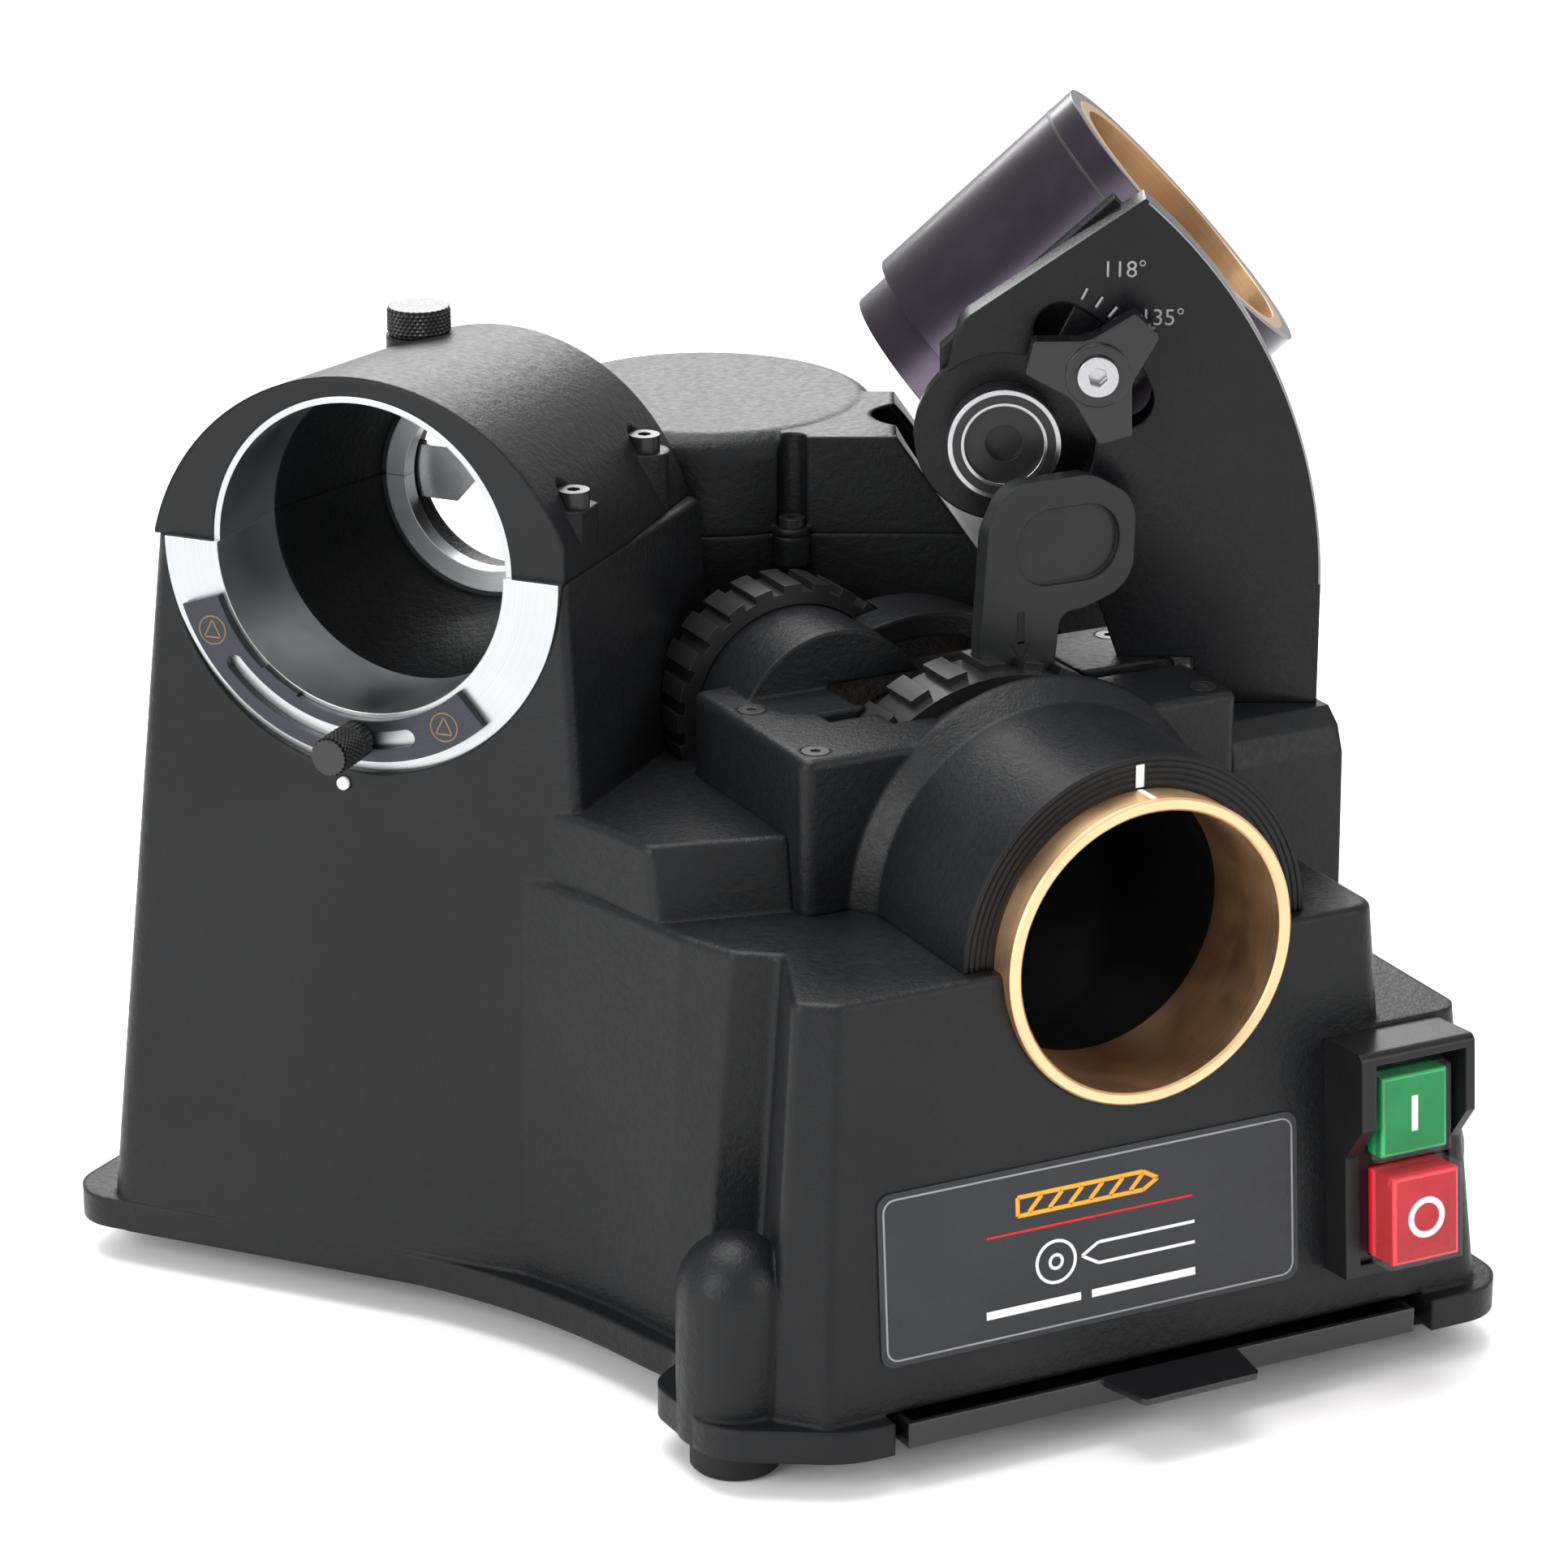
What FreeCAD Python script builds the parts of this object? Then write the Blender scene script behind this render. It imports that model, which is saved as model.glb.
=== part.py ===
"""Bench-top twist drill sharpener: an upright motor, two grinding wheels and three chuck ports.

Everything is drawn in the port frame: its origin is the mouth of the sharpening port, +Y runs
into the port and +Z is up.  Each finished sub-part is moved to the part's own frame, whose origin
is the centre of the footprint on the bench.
"""
import FreeCAD, Part

import math
import os

V = FreeCAD.Vector

# ---------------------------------------------------------------- driving dimensions, millimetres
ORIGIN = V(39.7, -117.6, 119.0)          # the sharpening port's mouth in the part's own frame

CHUCK_R = 34.925                         # bore of every chuck bush, 2.75 in across
BUSH_R = 38.1                            # outside of the same bush, 3 in across
BUSH_LENGTH = 30.0
TUBE_R = 42.0                            # black barrel that holds a bush
RUN_GAP = 0.05                           # radial clearance of every running fit

SKIRT_Z = -110.0                         # underside of the housing's skirt
SKIRT_TOP = -102.0
FLOOR_Z = -119.0                         # bench under the rubber feet
LEDGE_Z = -30.0                          # right-hand shelf
DECK_Z = 18.0                            # raised rear deck

BLOCK_Y = 57.0                           # front of the port block
BLOCK_TOP = 39.0
BLOCK_X = (-62.5, 57.0)

TOWER_TURN = 49.75                       # the alignment tower is turned this far to the left
TOWER_MOUTH = V(-135.8, 149.6, 74.2)     # centre of the alignment port's mouth
TOWER_DEPTH = 81.0
ALIGN_R = 38.8                           # mouth of the alignment port

SPINDLE = (-15.0, 208.0)                 # upright motor axis
GUARD_R = 45.5
GUARD_TOP = 87.0
GUARD_SEAM = 61.0

PLATE_TURN = 27.0                        # the quadrant plate is turned this far to the left
PLATE_FOOT = V(86.4, 67.5, 28.2)         # its right-hand front foot
PLATE_THICK = 10.0
PIVOT_S = -79.0                          # pivot, measured along the plate from its foot
PIVOT_Z = 95.7
TUBE_TILT = 43.0                         # splitting barrel above the horizontal, at the 118 mark

SHOULDER_Z = 28.2                        # top of the right-hand shoulder
FLOOR_ROOM_Z = -108.8                    # upper face of the bottom plate
PORT_WEB_Z = -46.0                       # underside of the casting round the sharpening port
CHAMBER_R = 40.0                         # room for the wheels
CHAMBER_Z = -15.5
MOTOR_R = 36.0
MOTOR_TOP = -24.0
MOTOR_BOTTOM = -98.0
SHAFT_R = 6.0
SHARPEN_Z = (-10.0, 10.0)                # sharpening wheel, bottom and top
SPLIT_Z = (62.0, 76.0)                   # splitting wheel, bottom and top
WHEEL_R = 36.0
GUARD_BORE = 41.5
TRAY_NOTCH = (-72.0, 77.0)
TRAY_X = (-69.0, 71.0)
TRAY_REAR = 138.0
TRAY_Z = -108.5
TRAY_TOP = -102.2

BARREL_R = 46.0                          # half barrel round the sharpening bush
BARREL_Y = 8.0
BLOCK_REAR = 118.0
RING_Y = (74.0, 90.0)                    # cam ring, front and rear
RING_R = 48.5
RING_TEETH = 28
SLEEVE_R = 36.9
SLEEVE_BORE = 35.3
PATH_R = 14.0
LEVER_Y = (82.0, 87.0)
BOSS_AXIS = (-30.0, 104.0, 27.0)
ADJUSTER_Y = (127.0, 141.0)
ADJUSTER_R = 32.0

LINER_R = 40.4                           # outside of the setting port's half liners
LINER_LENGTH = 28.0
FLANGE_R = 53.4
FLANGE_BACK = 2.5
SMALL_RING_Y = 68.0
SMALL_RING_R = 28.0
JAW_Y = (74.5, 78.5)
JAW_HALF = 7.0
FOOT_SCREW_R = 2.5
KNOB_SPOT = (-0.5, -5.0, -45.0)          # clamp knob of the pointer plate, in the tower's frame
KNOB_STEM_R = 1.9
THUMB_STEM_R = 3.0
WEDGE_P = (-42.0, 2.0)                   # sideways reach of the guard's wedge
WEDGE_TOP_R = 49.5
WEDGE_FOOT_R = 73.5
BEARING_R = 12.0
BARREL_DEPTH = 58.5                      # splitting barrel's axis behind the quadrant plate's front
TUBE_LENGTH = 64.6

FEET = ((-99.0, 21.0), (88.0, 21.0), (-138.0, 200.0), (72.0, 218.0))
FOOT_R = 10.8


# ---------------------------------------------------------------- shape helpers
def box(x0, x1, y0, y1, z0, z1):
    """An upright box between two corners."""
    return Part.makeBox(x1 - x0, y1 - y0, z1 - z0, V(x0, y0, z0))


def cylinder(radius, length, base, axis=V(0, 0, 1)):
    return Part.makeCylinder(radius, length, base, axis)


def tube(outer, inner, length, base, axis=V(0, 0, 1)):
    return cylinder(outer, length, base, axis).cut(cylinder(inner, length, base, axis))


def fuse(shapes):
    """Join a list of solids into one and merge their flush faces."""
    whole = shapes[0]
    if len(shapes) > 1:
        whole = shapes[0].fuse(shapes[1:])
    return whole.removeSplitter()


def outline(corners, z):
    """A closed wire at height z; each corner is (x, y, rounding radius)."""
    edges = []
    ends = []
    count = len(corners)
    for i in range(count):
        x, y, radius = corners[i]
        here = V(x, y, z)
        before = V(corners[i - 1][0], corners[i - 1][1], z)
        after = V(corners[(i + 1) % count][0], corners[(i + 1) % count][1], z)
        back = (before - here).normalize()
        on = (after - here).normalize()
        half = math.acos(max(-1.0, min(1.0, back.dot(on)))) / 2
        setback = radius / math.tan(half)
        bisector = (back + on).normalize()
        centre = here + bisector * (radius / math.sin(half))
        ends.append((here + back * setback, centre - bisector * radius, here + on * setback))
    for i in range(count):
        first, middle, last = ends[i]
        edges.append(Part.Arc(first, middle, last).toShape())
        edges.append(Part.LineSegment(last, ends[(i + 1) % count][0]).toShape())
    return Part.Wire(edges)


def drafted(low, z_low, high, z_high):
    """A solid between two outlines with the same number of corners."""
    return Part.makeLoft([outline(low, z_low), outline(high, z_high)], True, True)


def slab(corners, z_low, z_high):
    """A straight prism on a rounded outline."""
    return Part.Face(outline(corners, z_low)).extrude(V(0, 0, z_high - z_low))


def rectangle(x0, x1, y0, y1, radius):
    return [(x0, y0, radius), (x1, y0, radius), (x1, y1, radius), (x0, y1, radius)]


def round_top(solid, z_top, radius):
    """Round the edges of a solid's flat top; a top that can't take the radius stays sharp."""
    edges = [e for e in solid.Edges
             if abs(e.BoundBox.ZMin - z_top) < 0.01 and abs(e.BoundBox.ZMax - z_top) < 0.01]
    return solid.makeFillet(radius, edges)


def stand(shape, foot, turn):
    """Stand a shape drawn on the XY plane upright: its X along a wall turned left, its Y up."""
    upright = FreeCAD.Rotation(V(1, 0, 0), 90)
    swing = FreeCAD.Rotation(V(0, 0, 1), -turn)
    placed = shape.copy()
    placed.Placement = FreeCAD.Placement(foot, swing.multiply(upright)).multiply(placed.Placement)
    return placed


def turned(shape, angle, origin):
    """Swing a shape about the vertical to the left by an angle, then carry it to a point."""
    placed = shape.copy()
    swing = FreeCAD.Placement(origin, FreeCAD.Rotation(V(0, 0, 1), -angle))
    placed.Placement = swing.multiply(placed.Placement)
    return placed


def in_tower(shape):
    """Local X runs along the tower's face, Y into it, Z up from the port's split plane."""
    return turned(shape, TOWER_TURN, TOWER_MOUTH)


def on_plate(shape):
    """Local X runs along the quadrant plate from its foot, Y behind it, Z up from its foot."""
    return turned(shape, PLATE_TURN, PLATE_FOOT)


def on_head(shape):
    """Local X runs up the splitting barrel's axis, -Y is the front, measured from the pivot."""
    tilted = shape.copy()
    tilt = FreeCAD.Placement(V(PIVOT_S, 0, PIVOT_Z - PLATE_FOOT.z),
                             FreeCAD.Rotation(V(0, 1, 0), -TUBE_TILT))
    tilted.Placement = tilt.multiply(tilted.Placement)
    return on_plate(tilted)


def facing(points, y, thickness):
    """A flat plate from a polygon of (x, z) points, its front at y."""
    wire = Part.makePolygon([V(x, y, z) for x, z in points + points[:1]])
    return Part.Face(wire).extrude(V(0, thickness, 0))


def sector(inner, outer, start, end, y, thickness, cx=0.0, cz=0.0):
    """A plate bounded by two arcs about (cx, cz) and two straight ends, drawn facing -Y."""
    def at(radius, angle):
        a = math.radians(angle)
        return V(cx + radius * math.cos(a), y, cz + radius * math.sin(a))
    middle = (start + end) / 2
    edges = [Part.Arc(at(outer, start), at(outer, middle), at(outer, end)).toShape(),
             Part.makeLine(at(outer, end), at(inner, end)),
             Part.Arc(at(inner, end), at(inner, middle), at(inner, start)).toShape(),
             Part.makeLine(at(inner, start), at(outer, start))]
    return Part.Face(Part.Wire(edges)).extrude(V(0, thickness, 0))


def arc_slot(radius, half, start, end, y, thickness, cx=0.0, cz=0.0):
    """A kidney with round ends along an arc, drawn facing -Y."""
    kidney = [sector(radius - half, radius + half, start, end, y, thickness, cx, cz)]
    for angle in (start, end):
        a = math.radians(angle)
        centre = V(cx + radius * math.cos(a), y, cz + radius * math.sin(a))
        kidney.append(cylinder(half, thickness, centre, V(0, 1, 0)))
    return fuse(kidney)


# ---------------------------------------------------------------- lower housing
def left_wall(z):
    """Corners of the concave left wall at height z, from the tower to the front-left pillars."""
    t = (z - SKIRT_Z) / (DECK_Z - SKIRT_Z)

    def mix(low, high):
        return low + (high - low) * t
    return [(mix(-184, -140), mix(191, 152), 4.0),
            (mix(-112, -103.7), mix(109.2, 110.8), mix(180, 140)),
            (mix(-99, -93.4), mix(58, 60), 3.0)]


def pillars(z):
    """Corners of the two stepped folds between the left wall and the front face."""
    t = (z - SKIRT_Z) / (0.0 - SKIRT_Z)

    def mix(low, high):
        return low + (high - low) * t
    return [(mix(-96, -87.6), mix(47, 44.6), 2.5),
            (mix(-84, -78.0), mix(41, 38.0), 2.5),
            (mix(-98, -89.7), mix(6, 10.0), 3.0),
            (mix(-88, -80.8), front_y(z), 4.0)]


def front_y(z):
    """The front face leans back four and a half degrees."""
    return 3.8 + z * math.tan(math.radians(4.5))


def right_x(z):
    """The right side draws in towards the top."""
    return 88.6 - (z - LEDGE_Z) * 0.085


def body_outline(z, right, rear_corner):
    """Outline of the housing at height z, anticlockwise from the tower."""
    corners = left_wall(z) + pillars(z)
    corners += [(right, front_y(z), 6.0)]
    corners += [(right, 222.0, 12.0), (rear_corner, 254.0, 20.0), (-125.0, 254.0, 20.0)]
    return corners


def foot_boss(x, y):
    """A domed post over one foot."""
    radius = 14.0
    post = cylinder(radius, 36.0, V(x, y, SKIRT_Z))
    return post.fuse(Part.makeSphere(radius, V(x, y, SKIRT_Z + 36.0)))


def housing_outside():
    skirt = [(-201.0, 206.0, 12.0), (-117.0, 108.0, 190.0), (-104.5, 60.0, 5.0), (-100.0, 46.0, 8.0),
             (-113.0, 37.0, 9.0), (-112.0, 8.0, 14.0), (-84.0, -8.8, 26.0), (101.0, -8.8, 13.0),
             (101.0, 226.0, 16.0), (64.0, 259.0, 22.0), (-124.0, 259.0, 22.0)]
    lower = drafted(body_outline(SKIRT_Z, right_x(SKIRT_Z), 60.0), SKIRT_Z,
                    body_outline(LEDGE_Z, right_x(LEDGE_Z), 60.0), LEDGE_Z)
    front = drafted(body_outline(LEDGE_Z, 66.8, 20.0), LEDGE_Z, body_outline(0.0, 65.0, 20.0), 0.0)
    front = round_top(front, 0.0, 1.8)
    deck_low = [(-145.6, 157.7, 4.0), (-104.8, 110.6, 100.0), (-95.5, 70.0, 4.0), (-60.0, 62.0, 4.0),
                (60.0, 62.0, 4.0), (60.0, 253.4, 10.0), (-125.0, 253.4, 10.0)]
    deck_high = [(-140.0, 152.0, 4.0), (-103.7, 110.8, 100.0), (-95.5, 74.0, 4.0), (-60.0, 65.0, 4.0),
                 (60.0, 65.0, 4.0), (60.0, 252.6, 10.0), (-125.0, 252.6, 10.0)]
    deck = drafted(deck_low, 0.0, deck_high, DECK_Z)
    deck = round_top(deck, DECK_Z, 1.8)
    pieces = [lower, slab(skirt, SKIRT_Z, SKIRT_TOP), front, deck, tower_outside(), rear_block()]
    pieces += [foot_boss(x, y) for x, y in FEET[:2]]
    return fuse(pieces)


def tower_outside():
    """The tall block under the alignment port."""
    low = [(-73.0, -13.5, 8.0), (71.0, -13.5, 4.0), (69.0, 88.0, 8.0), (-73.0, 88.0, 8.0)]
    high = [(-57.5, 0.0, 5.0), (54.5, 0.0, 2.5), (54.5, TOWER_DEPTH, 4.0), (-57.5, TOWER_DEPTH, 4.0)]
    base = SKIRT_Z - TOWER_MOUTH.z
    return in_tower(round_top(drafted(low, base, high, 0.0), 0.0, 1.2))


def rear_block():
    """The stepped right-hand shoulder that carries the quadrant plate, and the hump behind it."""
    profile = [(57.0, LEDGE_Z - 1), (58.0, 18.0), (60.5, 24.5), (65.0, SHOULDER_Z), (108.0, SHOULDER_Z),
               (122.0, 34.0), (138.0, 46.0), (160.0, 50.0), (236.0, 50.0), (250.0, 40.0),
               (253.0, LEDGE_Z - 1)]
    wire = Part.makePolygon([V(46.0, y, z) for y, z in profile + profile[:1]])
    shoulder = Part.Face(wire).extrude(V(42.4, 0, 0))
    hump = box(34.0, 47.0, 150.0, 246.0, DECK_Z - 1, 49.0)
    return shoulder.fuse(hump)


def housing_hollows():
    """Everything hollow in the casting: the room for motor and wheel, the ports and the tray."""
    room = [(-88.0, 62.0, 4.0), (-72.0, 38.0, 4.0), (-80.0, 12.0, 4.0), (-70.0, 7.0, 3.0),
            (83.0, 8.0, 4.0), (83.0, 218.0, 6.0), (54.0, 246.0, 8.0), (-118.0, 246.0, 8.0),
            (-128.0, 196.0, 8.0), (-99.0, 118.0, 8.0)]
    hollows = [slab(room, FLOOR_ROOM_Z, PORT_WEB_Z)]
    hollows.append(slab(bottom_outline(), SKIRT_Z - 1.0, FLOOR_ROOM_Z + 0.01))
    hollows.append(box(*TRAY_NOTCH, -14.0, 14.0, SKIRT_Z - 1.0, SKIRT_TOP + 0.5))
    x, y = SPINDLE
    hollows.append(cylinder(CHAMBER_R, 60.0, V(x, y, CHAMBER_Z)))
    hollows.append(cylinder(MOTOR_R, 60.0, V(x, y, MOTOR_TOP - 60.0)))
    return hollows


def bottom_outline():
    return [(-182.0, 204.0, 5.0), (-112.0, 118.0, 120.0), (-97.0, 64.0, 5.0), (-93.0, 45.0, 4.0),
            (-106.0, 34.0, 5.0), (-106.0, 12.0, 8.0), (-84.0, -2.0, 12.0), (94.0, -2.0, 8.0),
            (94.0, 222.0, 8.0), (60.0, 252.0, 12.0), (-122.0, 252.0, 12.0)]


def port_hollows():
    """Bores shared by the casting and the port block: bush seat, sleeve, ring slot and path."""
    ahead = V(0, 1, 0)
    hollows = [cylinder(BUSH_R, 74.5, V(0, -20.0, 0), ahead)]
    hollows.append(cylinder(BUSH_R, 20.5, V(0, 54.0, 0), ahead))
    hollows.append(cylinder(RING_R + 0.7, RING_Y[1] - RING_Y[0] + 1.0, V(0, RING_Y[0] - 0.5, 0), ahead))
    hollows.append(cylinder(SLEEVE_R, 8.0, V(0, RING_Y[1], 0), ahead))
    hollows.append(cylinder(32.0, 22.0, V(0, RING_Y[1] + 6.0, 0), ahead))
    hollows.append(cylinder(PATH_R, 70.0, V(0, RING_Y[1] + 20.0, 0), ahead))
    return hollows


def tower_hollows():
    """The setting port's bore: liner seat, taper, small ring seat, jaw slot and way out."""
    inward = V(0, 1, 0)
    hollows = [cylinder(LINER_R, LINER_LENGTH + 20.0, V(0, -20.0, 0), inward)]
    hollows.append(Part.makeCone(ALIGN_R, 29.0, SMALL_RING_Y - LINER_LENGTH, V(0, LINER_LENGTH, 0), inward))
    hollows.append(cylinder(SMALL_RING_R, 5.0, V(0, SMALL_RING_Y, 0), inward))
    hollows.append(cylinder(24.0, TOWER_DEPTH + 20.0 - SMALL_RING_Y, V(0, SMALL_RING_Y, 0), inward))
    hollows.append(box(-40.0, 40.0, JAW_Y[0] - 0.3, JAW_Y[1] + 0.3, -JAW_HALF - 0.3, JAW_HALF + 0.3))
    return hollows


def carve(solid, tools):
    """Cut the tools away one after another."""
    for tool in tools:
        solid = solid.cut(tool)
    return solid


def lower_housing():
    pocket = slab(rectangle(BLOCK_X[0], BLOCK_X[1], BLOCK_Y, BLOCK_REAR, 3.0), 0.0, 80.0)
    casting = carve(housing_outside(), housing_hollows() + port_hollows())
    casting = carve(casting, [pocket, adjuster_groove(26.0)])
    tower = tower_hollows()
    tower.append(cylinder(FLANGE_R, FLANGE_BACK + 20.0, V(0, -20.0, 0), V(0, 1, 0)))
    tower.append(drafted(rectangle(-64.0, 61.0, -5.0, 80.0, 5.0), -173.0,
                         rectangle(-54.0, 50.0, 2.5, 76.0, 5.0), -60.0))
    tower.append(index_mark())
    casting = carve(casting, [in_tower(piece) for piece in tower])
    casting = casting.fuse([cylinder(9.0, 24.0, V(x, y, FLOOR_ROOM_Z)) for x, y in FEET[2:]])
    x, y = SPINDLE
    holes = [cylinder(FOOT_SCREW_R, 30.0, V(fx, fy, SKIRT_Z - 1.0)) for fx, fy in FEET]
    holes += [inlet_body(), cylinder(6.4, 20.0, V(x, y, CHAMBER_Z - 12.0))]
    holes += block_screw_seats() + plate_screw_shanks() + cap_screw_shanks()
    return carve(casting, holes)


def index_mark():
    """White dot under the setting port, sunk in the tower's face."""
    return cylinder(1.6, 1.6, V(-4.3, -5.0, -56.8), V(0, 1, 0))


def adjuster_groove(core):
    """Free space for the hand ring; a core radius of nought clears the whole disc."""
    x, _, z = BOSS_AXIS
    width = ADJUSTER_Y[1] - ADJUSTER_Y[0] + 1.0
    space = cylinder(ADJUSTER_R + 0.7, width, V(x, ADJUSTER_Y[0] - 0.5, z), V(0, 1, 0))
    if core > 0.0:
        space = space.cut(cylinder(core, 40.0, V(x, ADJUSTER_Y[0] - 5.0, z), V(0, 1, 0)))
    return space


def inlet_body():
    """Appliance inlet in the rear wall, a plain shallow box with its three blades."""
    return box(-84.0, -36.0, 244.0, 256.5, -92.0, -62.0)


def power_inlet():
    shell = inlet_body().cut(box(-80.0, -40.0, 248.0, 257.0, -88.0, -66.0))
    blades = [box(x - 1.0, x + 1.0, 247.0, 254.0, -81.0, -73.0) for x in (-69.0, -60.0, -51.0)]
    return fuse([shell] + blades)


def bottom_plate():
    sheet = slab(bottom_outline(), SKIRT_Z, FLOOR_ROOM_Z)
    mouth = box(TRAY_X[0] + 6.0, TRAY_X[1] - 6.0, -20.0, TRAY_REAR, SKIRT_Z - 1, FLOOR_ROOM_Z + 1)
    front = box(*TRAY_NOTCH, -20.0, -1.5, SKIRT_Z - 1, FLOOR_ROOM_Z + 1)
    holes = [cylinder(FOOT_SCREW_R, 10.0, V(x, y, SKIRT_Z - 5.0)) for x, y in FEET]
    sheet = sheet.cut([mouth, front] + holes)
    slots = [box(x, x + 3.0, 172.0, 244.0, SKIRT_Z - 1, FLOOR_ROOM_Z + 1)
             for x in range(-51, 22, 9)]
    return sheet.cut(slots)


def feet():
    """Four rubber feet, each a plain cylinder with a hollow for its screw head."""
    rubber = []
    for x, y in FEET:
        foot = cylinder(FOOT_R, SKIRT_Z - FLOOR_Z, V(x, y, FLOOR_Z))
        foot = foot.makeChamfer(0.8, [e for e in foot.Edges if abs(e.BoundBox.ZMax - FLOOR_Z) < 0.01])
        hollow = [cylinder(5.2, 4.0, V(x, y, FLOOR_Z - 0.1)), cylinder(FOOT_SCREW_R, 12.0, V(x, y, FLOOR_Z))]
        foot = foot.cut(hollow)
        rubber.append(foot)
    return Part.makeCompound(rubber)


def foot_screws():
    screws = []
    for x, y in FEET:
        head = cylinder(5.0, 2.9, V(x, y, FLOOR_Z + 1.0))
        screws.append(fuse([head, cylinder(FOOT_SCREW_R, 26.0, V(x, y, FLOOR_Z + 1.0))]))
    return Part.makeCompound(screws)


def grit_tray():
    """A shallow pan that slides out under the front, with a bent pull tab."""
    x0, x1 = TRAY_X
    pan = box(x0, x1, -9.8, TRAY_REAR - 1.0, TRAY_Z, TRAY_TOP)
    pan = pan.cut(box(x0 + 1.5, x1 - 1.5, -8.3, TRAY_REAR - 2.5, TRAY_Z + 1.5, TRAY_TOP + 1.0))
    tab = [(-17.0, -9.8, 0.4), (-13.5, -23.8, 1.5), (18.4, -23.4, 1.5), (20.4, -9.8, 0.4)]
    return fuse([pan, slab(tab, TRAY_TOP - 1.6, TRAY_TOP)])


def on_front(shape):
    """Lean a shape drawn against the plane y = 0 back onto the front face."""
    leaned = shape.copy()
    lean = FreeCAD.Placement(V(0, front_y(0.0), 0), FreeCAD.Rotation(V(1, 0, 0), -4.5))
    leaned.Placement = lean.multiply(leaned.Placement)
    return leaned


def name_plate():
    label = slab(rectangle(-73.0, 41.0, -90.5, -47.5, 3.5), 0.0, 0.5)
    return on_front(stand(label, V(0, 0, 0), 0.0))


# ---------------------------------------------------------------- sharpening port
def port_block():
    ahead = V(0, 1, 0)
    x0, x1 = BLOCK_X
    saddle = slab(rectangle(x0, x1, BLOCK_Y, BLOCK_REAR, 3.0), 0.0, BLOCK_TOP)
    saddle = round_top(saddle, BLOCK_TOP, 2.2)
    barrel = cylinder(BARREL_R, BLOCK_Y - BARREL_Y + 1.0, V(0, BARREL_Y, 0), ahead)
    neck = Part.makeCone(BARREL_R, BARREL_R + 5.0, 7.0, V(0, BLOCK_Y - 6.0, 0), ahead)
    above = box(-90.0, 90.0, 0.0, 160.0, 0.0, 90.0)
    upper = fuse([barrel, neck]).common(above)
    boss = cylinder(26.5, 38.0, V(*BOSS_AXIS), ahead).common(
        box(-90, 90, 90, 160, DECK_Z, 90).fuse(box(-90, 90, 90, BLOCK_REAR, 0, 90)))
    arch = sector(44.0, 50.0, 24.5, 150.0, BLOCK_REAR - 2.0, 18.0)
    arch = arch.cut(adjuster_groove(0.0))
    body = fuse([saddle, upper, boss, arch])
    body = body.cut(port_hollows() + block_screw_seats())
    body = body.cut([box(-19.0, 19.0, 60.0, RING_Y[0], 12.0, 60.0),
                     box(-32.0, 30.0, RING_Y[1] - 0.5, BLOCK_REAR - 2.0, 8.0, BLOCK_TOP + 1),
                     sector(SLEEVE_R, 70.0, 22.0, 138.0, LEVER_Y[0] - 0.7, LEVER_Y[1] - LEVER_Y[0] + 1.4)])
    band = sector(BUSH_R + 0.5, 43.0, 20.0, 160.0, RING_Y[0] - 3.6, 3.0)
    body = body.fuse(band)
    groove = [tube(r + 0.5, r, 0.6, V(0, BARREL_Y - 0.1, 0), ahead) for r in (40.0, 41.5, 43.0, 44.5)]
    return body.cut(groove).cut(tower_outside())


def sharpening_bush():
    bush = tube(BUSH_R, CHUCK_R, BUSH_LENGTH, V(0, 0, 0), V(0, 1, 0))
    rims = [e for e in bush.Edges if e.BoundBox.YMax < 0.01]
    return bush.makeChamfer(0.6, rims)


def guide_sleeve():
    ahead = V(0, 1, 0)
    long_part = tube(BUSH_R, SLEEVE_BORE, RING_Y[0] - 0.5 - BUSH_LENGTH, V(0, BUSH_LENGTH, 0), ahead)
    nose = tube(SLEEVE_R, SLEEVE_BORE, RING_Y[1] + 8.0 - RING_Y[0] + 0.5, V(0, RING_Y[0] - 0.5, 0), ahead)
    sleeve = fuse([long_part, nose]).cut(box(-17.0, 17.0, 61.0, RING_Y[0] - 0.5, 20.0, 50.0))
    return sleeve.cut(stop_pin())


def stop_pin():
    """Small steel pin that stops the chuck, low on the left of the bore."""
    angle = math.radians(215.0)
    out = V(math.cos(angle), 0, math.sin(angle))
    return cylinder(2.5, 8.7, V(out.x * 29.1, 44.0, out.z * 29.1), out)


def cam_ring():
    """Ring with a ratchet-like rim, turned by the lever."""
    ahead = V(0, 1, 0)
    width = RING_Y[1] - RING_Y[0]
    ring = cylinder(RING_R - 2.2, width, V(0, RING_Y[0], 0), ahead)
    teeth = []
    for i in range(RING_TEETH):
        middle = i * 360.0 / RING_TEETH
        teeth.append(sector(RING_R - 4.0, RING_R, middle - 3.2, middle + 3.2, RING_Y[0] + 3.0, width - 3.0))
    ring = ring.fuse(teeth)
    ring = ring.cut(cylinder(SLEEVE_R + 0.3, width + 2.0, V(0, RING_Y[0] - 1.0, 0), ahead))
    return ring.cut(lever_root())


def lever_root():
    return box(-1.8, 20.6, LEVER_Y[0], LEVER_Y[1], 38.0, 52.0)


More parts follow.
